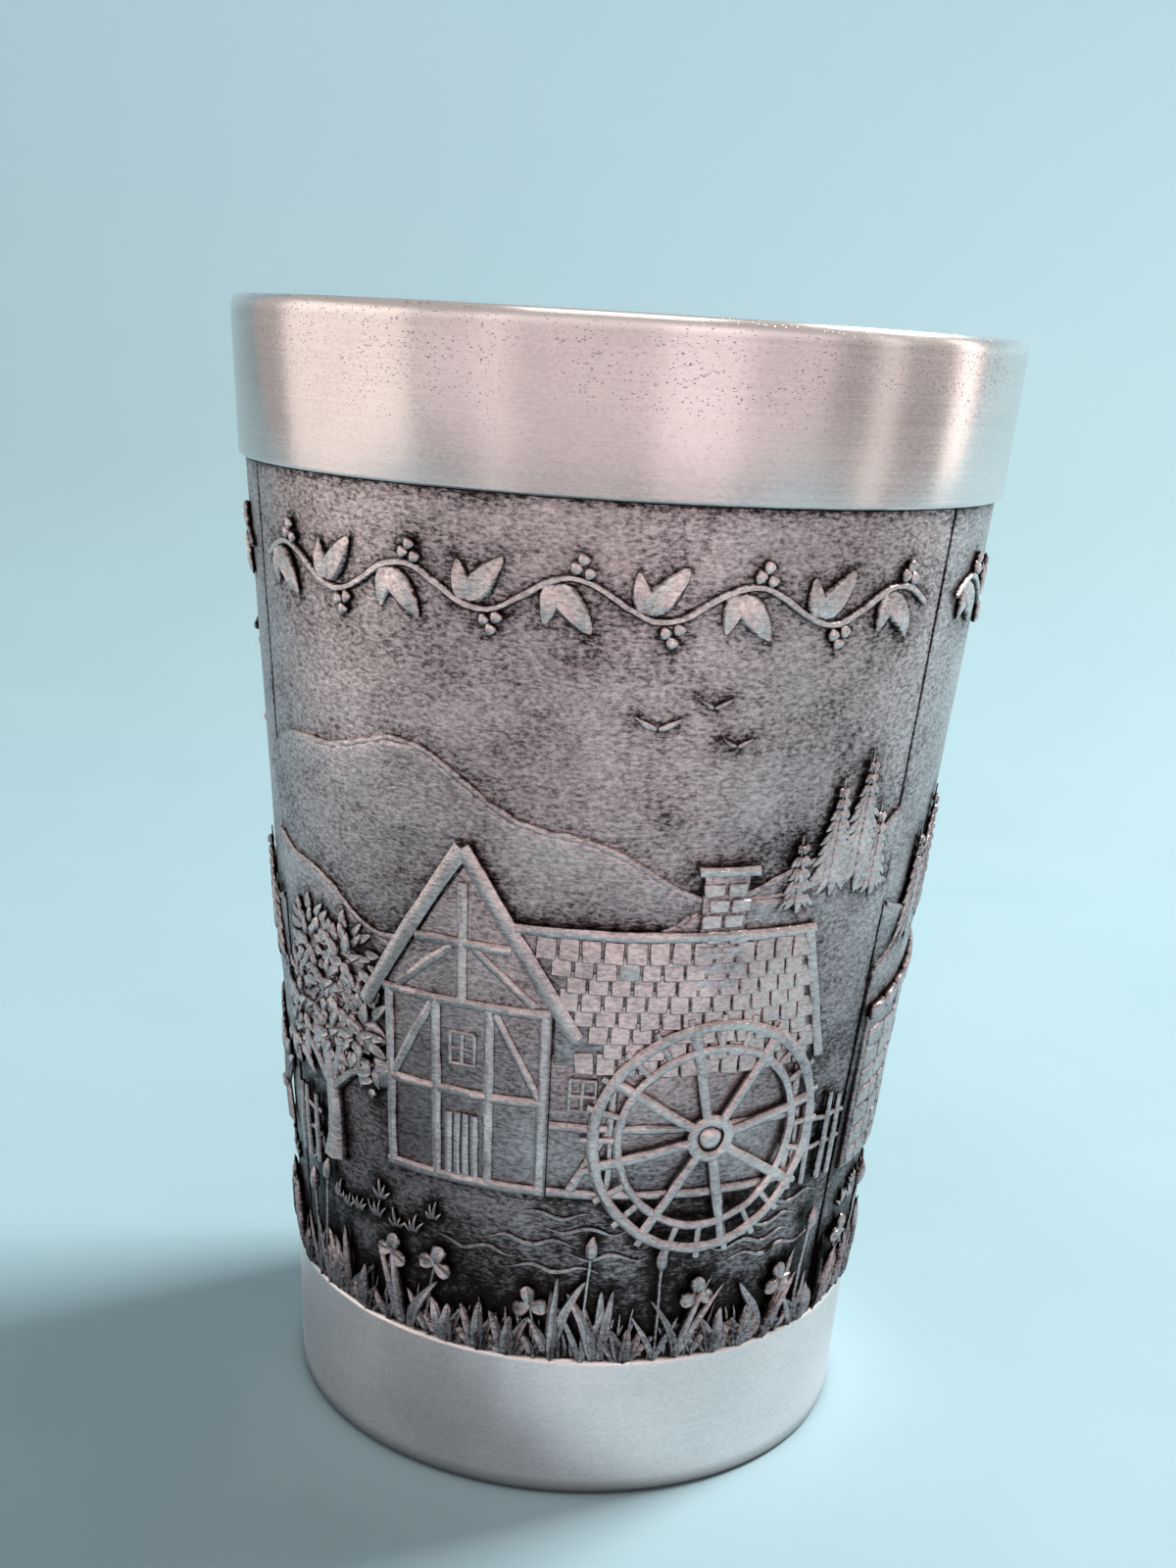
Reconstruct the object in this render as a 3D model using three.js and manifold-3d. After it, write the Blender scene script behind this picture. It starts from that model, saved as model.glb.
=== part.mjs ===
// A tapered pewter drinking cup, built up from turned rings and cast plates that are soldered together:
// a plain inner wall on a floor disc, a foot band and a rim band, and three curved relief plates between
// the bands, butted at upright seams. Millimetres, +Z up. The origin is on the table under the cup's
// axis, and the front plate faces -Y.

import * as THREE from 'three';
import { mergeVertices } from 'three/addons/utils/BufferGeometryUtils.js';
import Module from 'manifold-3d';

const wasm = await Module();
wasm.setup();

// Outside of the cup: its height, its radius at the table and under the lip, and its two bands
const CUP_HEIGHT = 90;
const FOOT_RADIUS = 23.4;
const MOUTH_RADIUS = 31.2;
const FOOT_HEIGHT = 11.9;
const RIM_HEIGHT = 12.05;

// How far each band stands outside the plates' face, at its two edges
const FOOT_STAND = 1;
const FOOT_EDGE_STAND = 0.5;
const RIM_EDGE_STAND = 0.5;
const LIP_STAND = 0.25;

// Every soldered joint is left open by this much
const SOLDER_GAP = 0.1;

// Relief plates: a thinner tongue at the top and bottom of each slips behind the bands
const PANEL_THICKNESS = 1;
const TONGUE_THICKNESS = 0.5;
const TONGUE_LENGTH = 1.5;
const SEAM_WIDTH = 0.5;
const SEAM_DEPTH = 0.3;

// Inner cup: its wall and its floor stand on the foot band's ledge
const WALL_THICKNESS = 1.2;
const FLOOR_THICKNESS = 2;
const FLOOR_FILLET = 1.6;
const FILLET_EDGE = 0.3;
const LEDGE_HEIGHT = 2.5;
const LEDGE_WIDTH = 2.2;

// Rounded edges of the bands, and the lip above its fine groove
const FOOT_EDGE_RADIUS = 0.6;
const RIM_EDGE_RADIUS = 0.3;
const LIP_HEIGHT = 1;
const LIP_ROUNDING = 0.55;
const LIP_COVER = 1.5;
const LIP_GROOVE_HEIGHT = 0.3;
const LIP_GROOVE_DEPTH = 0.2;

// Raised pictures on the plates: how far the low, middle and high forms stand out, how far all of them
// reach into the plate, how far above its lower edge they begin, and their longest facet
const WALL_RELIEF = 0.4;
const CROWN_RELIEF = 0.6;
const WHEEL_RELIEF = 0.9;
const RELIEF_ROOT = 0.5;
const RELIEF_START = 0.4;
const RELIEF_FACET = 5;

// Facets of every round: a multiple of the plates, so that a facet edge falls in each seam
const PANEL_NAMES = ['front', 'right', 'left'];
const SEAM_NAMES = ['front_right', 'back', 'front_left'];
const FACETS_PER_PANEL = 32;
const FACETS = FACETS_PER_PANEL * PANEL_NAMES.length;
const PANEL_ANGLE = (2 * Math.PI) / PANEL_NAMES.length;
const EDGE_STEPS = 4;

const RIM_BOTTOM = CUP_HEIGHT - RIM_HEIGHT;
const LIP_BOTTOM = CUP_HEIGHT - LIP_HEIGHT;

// Radii that follow the taper: each is a straight line in height
function taper(radiusLow, heightLow, radiusHigh, heightHigh) {
  const slope = (radiusHigh - radiusLow) / (heightHigh - heightLow);
  return (z) => radiusLow + slope * (z - heightLow);
}
const panelOuter = taper(FOOT_RADIUS - FOOT_STAND, 0, MOUTH_RADIUS - LIP_STAND, LIP_BOTTOM);
const footOuter = taper(FOOT_RADIUS, 0, panelOuter(FOOT_HEIGHT) + FOOT_EDGE_STAND, FOOT_HEIGHT);
const rimOuter = taper(panelOuter(RIM_BOTTOM) + RIM_EDGE_STAND, RIM_BOTTOM, MOUTH_RADIUS, LIP_BOTTOM);
const panelInner = (z) => panelOuter(z) - PANEL_THICKNESS;
const tongueOuter = (z) => panelInner(z) + TONGUE_THICKNESS;
const grooveOuter = (z) => tongueOuter(z) + SOLDER_GAP;
const wallOuter = (z) => panelInner(z) - SOLDER_GAP;
const wallInner = (z) => wallOuter(z) - WALL_THICKNESS;
const bandInner = (z) => wallOuter(z) + SOLDER_GAP;
const floorEdge = (z) => wallInner(z) - SOLDER_GAP;

// A point of a section on one of those lines
function on(line, z) {
  return [line(z), z];
}

// A quarter of an ellipse in a section, from one angle to another (degrees, 0 pointing outwards)
function roundedEdge(centre, radii, from, to) {
  const points = [];
  for (let step = 0; step <= EDGE_STEPS; step += 1) {
    const angle = THREE.MathUtils.degToRad(from + ((to - from) * step) / EDGE_STEPS);
    points.push([centre[0] + radii[0] * Math.cos(angle), centre[1] + radii[1] * Math.sin(angle)]);
  }
  return points;
}

// A section of [radius, height] points, listed anticlockwise, turned about the cup's axis
function turned(section) {
  const points = section.map(([radius, height]) => new THREE.Vector2(radius, height));
  return new THREE.LatheGeometry(points, FACETS).rotateX(Math.PI / 2);
}

// The same, for a section that closes on itself away from the axis
function turnedRing(section) {
  return turned([...section, section[0]]);
}

function toSolid(geometry) {
  const bare = geometry.clone();
  bare.deleteAttribute('normal');
  bare.deleteAttribute('uv');
  const merged = mergeVertices(bare);
  return new wasm.Manifold(
    new wasm.Mesh({
      numProp: 3,
      vertProperties: new Float32Array(merged.attributes.position.array),
      triVerts: new Uint32Array(merged.index.array),
    }),
  );
}

function toGeometry(solid) {
  const mesh = solid.getMesh();
  const geometry = new THREE.BufferGeometry();
  geometry.setAttribute('position', new THREE.BufferAttribute(mesh.vertProperties, mesh.numProp));
  geometry.setIndex(new THREE.BufferAttribute(mesh.triVerts, 1));
  geometry.computeVertexNormals();
  return geometry;
}

// The inner wall: a plain tapered tube from the ledge up to the underside of the lip
function cupWall() {
  const bottom = LEDGE_HEIGHT + SOLDER_GAP;
  const top = CUP_HEIGHT - LIP_COVER - SOLDER_GAP;
  return turnedRing([on(wallInner, bottom), on(wallOuter, bottom), on(wallOuter, top), on(wallInner, top)]);
}

// The floor: a disc with a tapered edge, inside the wall and on the same ledge
const FLOOR_BOTTOM = LEDGE_HEIGHT + SOLDER_GAP;
const FLOOR_TOP = FLOOR_BOTTOM + FLOOR_THICKNESS;
function floorDisc() {
  return turned([
    [0, FLOOR_BOTTOM],
    on(floorEdge, FLOOR_BOTTOM),
    on(floorEdge, FLOOR_TOP),
    [0, FLOOR_TOP],
  ]);
}

// The solder run round the inside corner, hollow-faced, between the floor and the wall
function floorSolder() {
  const bottom = FLOOR_TOP + SOLDER_GAP;
  const top = bottom + FLOOR_FILLET;
  const hollow = FLOOR_FILLET - FILLET_EDGE;
  const centre = [floorEdge(bottom) - FLOOR_FILLET, top];
  return turnedRing([
    on((z) => floorEdge(z) - FLOOR_FILLET, bottom),
    on(floorEdge, bottom),
    on(floorEdge, top),
    ...roundedEdge(centre, [hollow, hollow], 0, -90),
  ]);
}

// The foot band: its groove takes the plates' lower tongues, and its ledge carries the wall and the floor
function footBand() {
  const ledgeInner = wallInner(LEDGE_HEIGHT) - LEDGE_WIDTH;
  const grooveBottom = FOOT_HEIGHT - TONGUE_LENGTH - SOLDER_GAP;
  const edgeCentre = [footOuter(FOOT_EDGE_RADIUS) - FOOT_EDGE_RADIUS, FOOT_EDGE_RADIUS];
  return turnedRing([
    [ledgeInner, 0],
    ...roundedEdge(edgeCentre, [FOOT_EDGE_RADIUS, FOOT_EDGE_RADIUS], -90, 0),
    on(footOuter, FOOT_HEIGHT),
    on(grooveOuter, FOOT_HEIGHT),
    on(grooveOuter, grooveBottom),
    on(bandInner, grooveBottom),
    on(bandInner, LEDGE_HEIGHT),
    [ledgeInner, LEDGE_HEIGHT],
  ]);
}

// The rim band: its groove takes the plates' upper tongues, and its lip covers the top of the wall
function rimBand() {
  const coverBottom = CUP_HEIGHT - LIP_COVER;
  const grooveTop = RIM_BOTTOM + TONGUE_LENGTH + SOLDER_GAP;
  const edgeTop = RIM_BOTTOM + RIM_EDGE_RADIUS;
  const edgeCentre = [rimOuter(edgeTop) - RIM_EDGE_RADIUS, edgeTop];
  const fineGroove = LIP_BOTTOM - LIP_GROOVE_HEIGHT;
  const outerCentre = [rimOuter(LIP_BOTTOM) - LIP_ROUNDING, LIP_BOTTOM];
  const innerCentre = [wallInner(coverBottom) + LIP_ROUNDING, LIP_BOTTOM];
  return turnedRing([
    on(grooveOuter, RIM_BOTTOM),
    ...roundedEdge(edgeCentre, [RIM_EDGE_RADIUS, RIM_EDGE_RADIUS], -90, 0),
    on(rimOuter, fineGroove),
    on((z) => rimOuter(z) - LIP_GROOVE_DEPTH, fineGroove + LIP_GROOVE_HEIGHT / 2),
    ...roundedEdge(outerCentre, [LIP_ROUNDING, LIP_HEIGHT], 0, 90),
    ...roundedEdge(innerCentre, [LIP_ROUNDING, LIP_HEIGHT], 90, 180),
    on(wallInner, coverBottom),
    on(bandInner, coverBottom),
    on(bandInner, grooveTop),
    on(grooveOuter, grooveTop),
  ]);
}

// All three relief plates in one piece, before they are parted at the seams
const PANEL_BOTTOM = FOOT_HEIGHT + SOLDER_GAP;
const PANEL_TOP = RIM_BOTTOM - SOLDER_GAP;
const panelRing = toSolid(
  turnedRing([
    on(panelInner, FOOT_HEIGHT - TONGUE_LENGTH),
    on(tongueOuter, FOOT_HEIGHT - TONGUE_LENGTH),
    on(tongueOuter, PANEL_BOTTOM),
    on(panelOuter, PANEL_BOTTOM),
    on(panelOuter, PANEL_TOP),
    on(tongueOuter, PANEL_TOP),
    on(tongueOuter, RIM_BOTTOM + TONGUE_LENGTH),
    on(panelInner, RIM_BOTTOM + TONGUE_LENGTH),
  ]),
);

// A picture is drawn flat, in [u, v] points: u runs along the plate from its middle, towards the right,
// and v up from its lower edge. It is thickened, cut into short facets and then bent onto the plate.
const PANEL_SPAN = PANEL_ANGLE * panelOuter((PANEL_BOTTOM + PANEL_TOP) / 2);
function ontoPlate(point) {
  const z = PANEL_BOTTOM + point[1];
  const radius = panelOuter(z) - RELIEF_ROOT + point[2];
  const angle = (PANEL_ANGLE * point[0]) / PANEL_SPAN;
  point[0] = radius * Math.sin(angle);
  point[1] = -radius * Math.cos(angle);
  point[2] = z;
}
function flatUnion(outlines) {
  return wasm.CrossSection.union(outlines.map((outline) => new wasm.CrossSection([outline], 'NonZero')));
}
function raised(height, picture) {
  return picture.extrude(RELIEF_ROOT + height).refineToLength(RELIEF_FACET).warp(ontoPlate);
}

// Flat outlines that the pictures share
function discOutline([u, v], radius, points) {
  return Array.from({ length: points }, (_, index) => {
    const angle = (2 * Math.PI * index) / points;
    return [u + radius * Math.cos(angle), v + radius * Math.sin(angle)];
  });
}
function barOutline(start, end, width) {
  const along = new THREE.Vector2(end[0] - start[0], end[1] - start[1]).setLength(width / 2);
  return [
    [start[0] + along.y, start[1] - along.x],
    [end[0] + along.y, end[1] - along.x],
    [end[0] - along.y, end[1] + along.x],
    [start[0] - along.y, start[1] + along.x],
  ];
}
const FIR_BASE = 30;
const FIR_SPREAD = 0.27;
function firOutline([u, height]) {
  const spread = FIR_SPREAD * height;
  return [[u - spread, FIR_BASE], [u + spread, FIR_BASE], [u, FIR_BASE + height]];
}

// A leafy tree: a trunk and a lobed crown, in shares of the crown's middle height over the ground
const CROWN_LOBES = 8;
const CROWN_REACH = 0.6;
const CROWN_NOTCH = 0.5;
const TRUNK_WIDTH = 0.18;
function treeOutlines([u, v, height]) {
  const crown = Array.from({ length: 2 * CROWN_LOBES }, (_, index) => {
    const angle = (Math.PI * index) / CROWN_LOBES;
    const reach = height * (index % 2 ? CROWN_NOTCH : CROWN_REACH);
    return [u + reach * Math.cos(angle), v + height + reach * Math.sin(angle)];
  });
  return [barOutline([u, v], [u, v + height], TRUNK_WIDTH * height), crown];
}

// The plants along the foot of every plate: a row of pointed clumps, some taller than others
const CLUMPS = 18;
const CLUMP_SPAN = PANEL_SPAN - 2;
const CLUMP_LOW = 1.5;
const CLUMP_TALL = 3.4;
const CLUMP_SWELL = 2.6;
const CLUMP_RHYTHM = 1.9;
function plantOutline() {
  const points = [];
  for (let index = 0; index <= 2 * CLUMPS; index += 1) {
    const u = CLUMP_SPAN * (index / (2 * CLUMPS) - 0.5);
    const tall = CLUMP_TALL + CLUMP_SWELL * Math.sin(CLUMP_RHYTHM * index) ** 2;
    points.push([u, index % 2 ? tall : CLUMP_LOW]);
  }
  return [[CLUMP_SPAN / 2, RELIEF_START], ...points.reverse(), [-CLUMP_SPAN / 2, RELIEF_START]];
}

// Front plate: a gabled watermill with a shingled wing, a chimney and a spoked wheel, a tree and firs
const MILL = [3.4, 14];
const MILL_SCALE = 1.3;
const WHEEL_RADIUS = 9.2;
const WHEEL_RING = 1.9;
const WHEEL_SPOKES = 8;
const WHEEL_POINTS = 32;
const SPOKE_WIDTH = 0.8;
const HUB_RADIUS = 1.6;
const HUB_POINTS = 12;
const FRONT_TREE = [-20.8, 12.5, 11.9];
const FRONT_FIRS = [[20.6, 8.6], [23.2, 10.4], [25, 7.4]];
function frontPictures() {
  const atMill = ([u, v]) => [MILL[0] + MILL_SCALE * u, MILL[1] + MILL_SCALE * v];
  const gable = [[-13, 0], [-2.5, 0], [-2.5, 11.5], [-7.75, 19.5], [-13, 11.5]].map(atMill);
  const wing = [[-2.5, 0], [13.5, 0], [13.5, 9], [-2.5, 9]].map(atMill);
  const roof = [[-3.6, 8.4], [14.6, 8.4], [12.2, 16.2], [-5.6, 16.2]].map(atMill);
  const chimney = [[5.2, 13], [7.8, 13], [7.8, 20.2], [5.2, 20.2]].map(atMill);
  const hub = atMill([7.2, 4]);
  const spokes = Array.from({ length: WHEEL_SPOKES }, (_, index) => {
    const angle = (2 * Math.PI * (index + 0.3)) / WHEEL_SPOKES;
    const reach = WHEEL_RADIUS - WHEEL_RING / 2;
    return barOutline(hub, [hub[0] + reach * Math.cos(angle), hub[1] + reach * Math.sin(angle)], SPOKE_WIDTH);
  });
  const rim = flatUnion([discOutline(hub, WHEEL_RADIUS, WHEEL_POINTS)]);
  const rimHole = flatUnion([discOutline(hub, WHEEL_RADIUS - WHEEL_RING, WHEEL_POINTS)]);
  const wheel = rim.subtract(rimHole).add(flatUnion([...spokes, discOutline(hub, HUB_RADIUS, HUB_POINTS)]));
  return [
    raised(WALL_RELIEF, flatUnion([wing, ...FRONT_FIRS.map(firOutline)])),
    raised(CROWN_RELIEF, flatUnion([gable, roof, chimney, ...treeOutlines(FRONT_TREE)])),
    raised(WHEEL_RELIEF, wheel),
  ];
}

// Right plate: a humped bridge with one round arch, between firs
const BRIDGE_HALF = 27;
const BRIDGE_SHOULDER = 26.8;
const BRIDGE_HUMP = 3.2;
const ARCH_RADIUS = 10;
const ARCH_BASE = 12.5;
const ARCH_POINTS = 12;
const RIGHT_FIRS = [[-22.5, 9], [-19.4, 11], [-16, 8], [15.5, 9.5], [18.8, 12], [22.4, 8.6]];
function rightPictures() {
  const bridgeTop = (u) => BRIDGE_SHOULDER + BRIDGE_HUMP * Math.cos((Math.PI * u) / (2 * BRIDGE_HALF));
  const arch = [];
  const top = [];
  for (let index = 0; index <= ARCH_POINTS; index += 1) {
    const angle = Math.PI * (1 - index / ARCH_POINTS);
    const u = BRIDGE_HALF * (1 - (2 * index) / ARCH_POINTS);
    arch.push([ARCH_RADIUS * Math.cos(angle), ARCH_BASE + ARCH_RADIUS * Math.sin(angle)]);
    top.push([u, bridgeTop(u)]);
  }
  const bridge = [[-BRIDGE_HALF, ARCH_BASE], ...arch, [BRIDGE_HALF, ARCH_BASE], ...top];
  return [
    raised(CROWN_RELIEF, flatUnion([bridge])),
    raised(WALL_RELIEF, flatUnion(RIGHT_FIRS.map(firOutline))),
  ];
}

// Left plate: a boarded windmill with a round cap and four sails, sheaves of wheat and a tree
const TOWER_BASE = 12.5;
const TOWER_TOP = 35;
const TOWER_HALF = 6.2;
const TOWER_TOP_HALF = 3.6;
const CAP_RADIUS = 4.2;
const CAP_POINTS = 16;
const SAIL_ANGLE = 28;
const SAIL_ROOT = 3.4;
const SAIL_REACH = 16.9;
const SAIL_WIDTH = 3.3;
const SAIL_COUNT = 4;
const HUB_RISE = 0.6;
const SHEAVES = [[12.5, 11.5, 7], [18, 13.5, 6.2], [23.4, 11, 7.2], [-13, 11.5, 6.6]];
const SHEAF_FOOT = 1.6;
const SHEAF_WAIST = 0.8;
const SHEAF_SPREAD = 2.9;
const LEFT_TREE = [-20.6, 17, 8.2];
function leftPictures() {
  const tower = [
    [-TOWER_HALF, TOWER_BASE],
    [TOWER_HALF, TOWER_BASE],
    [TOWER_TOP_HALF, TOWER_TOP],
    [-TOWER_TOP_HALF, TOWER_TOP],
  ];
  const cap = discOutline([0, TOWER_TOP], CAP_RADIUS, CAP_POINTS);
  const hub = new THREE.Vector2(0, TOWER_TOP + HUB_RISE);
  const sails = [];
  for (let arm = 0; arm < SAIL_COUNT; arm += 1) {
    const angle = THREE.MathUtils.degToRad(SAIL_ANGLE + (360 * arm) / SAIL_COUNT);
    const along = (reach, aside) =>
      new THREE.Vector2(reach, aside).rotateAround(new THREE.Vector2(), angle).add(hub).toArray();
    sails.push(barOutline(hub.toArray(), along(SAIL_REACH, 0), SPOKE_WIDTH));
    sails.push(barOutline(along(SAIL_ROOT, SAIL_WIDTH / 2), along(SAIL_REACH, SAIL_WIDTH / 2), SAIL_WIDTH));
  }
  const sheaf = ([u, v, height]) => [
    [u - SHEAF_FOOT, v],
    [u + SHEAF_FOOT, v],
    [u + SHEAF_WAIST, v + height / 2],
    [u + SHEAF_SPREAD, v + height],
    [u, v + 1.2 * height],
    [u - SHEAF_SPREAD, v + height],
    [u - SHEAF_WAIST, v + height / 2],
  ];
  return [
    raised(CROWN_RELIEF, flatUnion([tower, cap, ...SHEAVES.map(sheaf), ...treeOutlines(LEFT_TREE)])),
    raised(WHEEL_RELIEF, flatUnion([...sails, discOutline(hub.toArray(), HUB_RADIUS, HUB_POINTS)])),
  ];
}
const PICTURES = [frontPictures(), rightPictures(), leftPictures()];

// One plate: the ring inside a wedge whose sides stand half a seam back from the seam planes, with the
// picture that is cast on it
function reliefPanel(index) {
  const reach = 2 * MOUTH_RADIUS;
  const middle = new THREE.Vector2(0, -1).rotateAround(new THREE.Vector2(), PANEL_ANGLE * index);
  const apex = middle.clone().multiplyScalar(SEAM_WIDTH / 2 / Math.sin(PANEL_ANGLE / 2));
  const corner = (turn) =>
    middle.clone().rotateAround(new THREE.Vector2(), turn).multiplyScalar(reach).add(apex);
  const wedge = new THREE.Shape([
    apex,
    corner(-PANEL_ANGLE / 2),
    middle.clone().multiplyScalar(reach).add(apex),
    corner(PANEL_ANGLE / 2),
  ]);
  const prism = new THREE.ExtrudeGeometry(wedge, { depth: CUP_HEIGHT, bevelEnabled: false });
  const plate = panelRing.intersect(toSolid(prism));
  const turn = [0, 0, THREE.MathUtils.radToDeg(PANEL_ANGLE * index)];
  const picture = [...PICTURES[index], raised(CROWN_RELIEF, flatUnion([plantOutline()]))];
  return toGeometry(wasm.Manifold.union([plate, ...picture.map((form) => form.rotate(turn))]));
}

// One seam: a strip of solder at the bottom of the gap between two plates
const seamFace = (z) => panelOuter(z) - SEAM_DEPTH;
const seamRing = toSolid(
  turnedRing([
    on(panelInner, PANEL_BOTTOM),
    on(seamFace, PANEL_BOTTOM),
    on(seamFace, PANEL_TOP),
    on(panelInner, PANEL_TOP),
  ]),
);
function seamSolder(index) {
  const strip = new THREE.BoxGeometry(SEAM_WIDTH - 2 * SOLDER_GAP, 2 * MOUTH_RADIUS, 2 * CUP_HEIGHT);
  strip.translate(0, -MOUTH_RADIUS, 0);
  strip.rotateZ(PANEL_ANGLE * (index + 0.5));
  return toGeometry(seamRing.intersect(toSolid(strip)));
}

const cup = new THREE.Group();
function addPiece(name, geometry, color, roughness) {
  const mesh = new THREE.Mesh(geometry, new THREE.MeshStandardMaterial({ color, roughness, metalness: 1 }));
  mesh.name = name;
  cup.add(mesh);
}

const SATIN_PEWTER = 0xb9b2b0;
const DARK_PEWTER = 0x6d676a;
const SEAM_PEWTER = 0x3f3a3b;
addPiece('cup_wall', cupWall(), SATIN_PEWTER, 0.42);
addPiece('floor_disc', floorDisc(), SATIN_PEWTER, 0.42);
addPiece('floor_solder', floorSolder(), SATIN_PEWTER, 0.5);
addPiece('foot_band', footBand(), SATIN_PEWTER, 0.4);
addPiece('rim_band', rimBand(), SATIN_PEWTER, 0.32);
PANEL_NAMES.forEach((side, index) => {
  addPiece(`relief_panel_${side}`, reliefPanel(index), DARK_PEWTER, 0.5);
});
SEAM_NAMES.forEach((side, index) => {
  addPiece(`seam_solder_${side}`, seamSolder(index), SEAM_PEWTER, 0.6);
});

export default cup;
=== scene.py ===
import math
import random

import bmesh
import bpy
from mathutils import Matrix, Vector, kdtree, noise


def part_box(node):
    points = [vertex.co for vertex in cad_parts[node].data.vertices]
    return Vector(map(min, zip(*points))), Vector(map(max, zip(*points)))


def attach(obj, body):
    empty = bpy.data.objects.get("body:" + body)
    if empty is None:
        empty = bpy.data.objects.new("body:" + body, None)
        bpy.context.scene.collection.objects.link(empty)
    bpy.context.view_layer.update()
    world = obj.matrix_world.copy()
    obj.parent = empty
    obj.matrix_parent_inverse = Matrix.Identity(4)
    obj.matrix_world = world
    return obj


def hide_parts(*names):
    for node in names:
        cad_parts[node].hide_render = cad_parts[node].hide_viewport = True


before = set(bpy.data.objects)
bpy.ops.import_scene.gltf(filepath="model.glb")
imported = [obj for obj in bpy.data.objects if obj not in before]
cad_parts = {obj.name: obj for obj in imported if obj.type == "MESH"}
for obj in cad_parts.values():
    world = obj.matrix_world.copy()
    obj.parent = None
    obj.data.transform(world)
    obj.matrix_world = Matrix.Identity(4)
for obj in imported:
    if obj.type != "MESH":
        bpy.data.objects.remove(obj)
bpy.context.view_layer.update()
bpy.context.scene.view_settings.view_transform = "Standard"

# Foot band: a turned pewter ring that the cup stands on. The wall and the floor rest on its inner ledge,
# and the plates' lower tongues are soldered into its top edge, where the tool left a thin ragged burr.
mm = 0.001
foot_low, foot_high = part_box("foot_band")
rim_low, rim_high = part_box("rim_band")
wall_low, wall_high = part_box("cup_wall")
foot_base_radius = 23.4 * mm
foot_edge_radius = 0.6 * mm
foot_ledge_radius = 18.15 * mm
foot_corner = 0.3 * mm
burr_height = 0.16 * mm
burr_width = 0.35 * mm
burr_reach = 0.25 * mm
burr_wave = 0.06 * mm
burr_scale, fine_burr_scale = 1400, 5000
burr_drift, drift_scale = 0.0012, 900


def plate_radius(z):
    """Radius of the plates' face at a height, on the cup's taper."""
    share = (z - plate_bottom) / (plate_top - plate_bottom)
    return plate_ends[0] + (plate_ends[1] - plate_ends[0]) * share


plate_thickness = 1 * mm
solder_gap = 0.1 * mm
plate_bottom = foot_high.z + solder_gap
plate_top = rim_low.z - solder_gap
plate_verts = [v.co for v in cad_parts["relief_panel_front"].data.vertices]
plate_ends = [max(co.xy.length for co in plate_verts if abs(co.z - z) < 1e-6)
              for z in (plate_bottom, plate_top)]
turning_steps = 256


def turned(section):
    """Turns a section of (radius, height) points about the cup's axis, closed on itself or on the axis."""
    bm = bmesh.new()
    verts = [bm.verts.new((radius, 0, height)) for radius, height in section]
    edges = [bm.edges.new(pair) for pair in zip(verts, verts[1:])]
    if section[0][0] > 0:
        edges.append(bm.edges.new((verts[-1], verts[0])))
    bmesh.ops.spin(bm, geom=verts + edges, cent=(0, 0, 0), axis=(0, 0, 1),
                   angle=math.tau, steps=turning_steps, use_merge=True)
    bmesh.ops.remove_doubles(bm, verts=bm.verts, dist=1e-8)
    bmesh.ops.recalc_face_normals(bm, faces=bm.faces)
    return bm


def rounded(bm, corner, size, steps):
    """Rounds the turned edge that passes through one corner of the section."""
    radius, height = corner
    ring = [edge for edge in bm.edges
            if all(abs(v.co.xy.length - radius) < 1e-7 and abs(v.co.z - height) < 1e-7 for v in edge.verts)]
    bmesh.ops.bevel(bm, geom=ring, offset=size, offset_type="OFFSET", affect="EDGES",
                    segments=steps, profile=0.5, material=-1)


def finished(name, bm, material, slot, *nodes, crease=35):
    """Makes the mesh an object that rides on the cup, in place of the CAD nodes named."""
    mesh = bpy.data.meshes.new(name)
    bm.to_mesh(mesh)
    bm.free()
    mesh.shade_smooth()
    mesh.set_sharp_from_angle(angle=math.radians(crease))
    mesh.materials.append(material)
    piece = bpy.data.objects.new(name, mesh)
    bpy.context.scene.collection.objects.link(piece)
    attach(piece, "root")
    if nodes:
        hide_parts(*nodes)


def new_material(name):
    """A new material, with its node tree and its shader."""
    material = bpy.data.materials.new(name)
    material.use_nodes = True
    return material, material.node_tree, material.node_tree.nodes["Principled BSDF"]


def add_node(tree, kind, sockets=None, **settings):
    """Adds a node, with its settings and with a value or a link for each socket named."""
    added = tree.nodes.new(kind)
    for key, value in settings.items():
        setattr(added, key, value)
    for socket, value in (sockets or {}).items():
        if isinstance(value, bpy.types.NodeSocket):
            tree.links.new(value, added.inputs[socket])
        else:
            added.inputs[socket].default_value = value
    return added


def add_stretch(tree, scale):
    """Object coordinates with their own scale along each axis, in features to the metre."""
    place = add_node(tree, "ShaderNodeTexCoord").outputs["Object"]
    return add_node(tree, "ShaderNodeMapping", {"Vector": place, "Scale": scale}).outputs[0]


def add_axis(tree, axis):
    """One of the Object coordinates, in metres."""
    place = add_node(tree, "ShaderNodeTexCoord").outputs["Object"]
    return add_node(tree, "ShaderNodeSeparateXYZ", {"Vector": place}).outputs[axis]


def add_noise(tree, scale, detail=2.0, roughness=0.5):
    """Noise with its own scale along each axis."""
    return add_node(tree, "ShaderNodeTexNoise", {"Vector": add_stretch(tree, scale), "Scale": 1.0,
                                                 "Detail": detail, "Roughness": roughness}).outputs["Fac"]


def add_range(tree, value, low, high, to_low=0.0, to_high=1.0):
    """Maps a value from one range to another, and holds it at the ends."""
    return add_node(tree, "ShaderNodeMapRange", {"Value": value, "From Min": low, "From Max": high,
                                                 "To Min": to_low, "To Max": to_high}).outputs[0]


def add_math(tree, operation, first, second):
    """One sum with two values, each a number or a link."""
    return add_node(tree, "ShaderNodeMath", {0: first, 1: second}, operation=operation).outputs[0]


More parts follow.
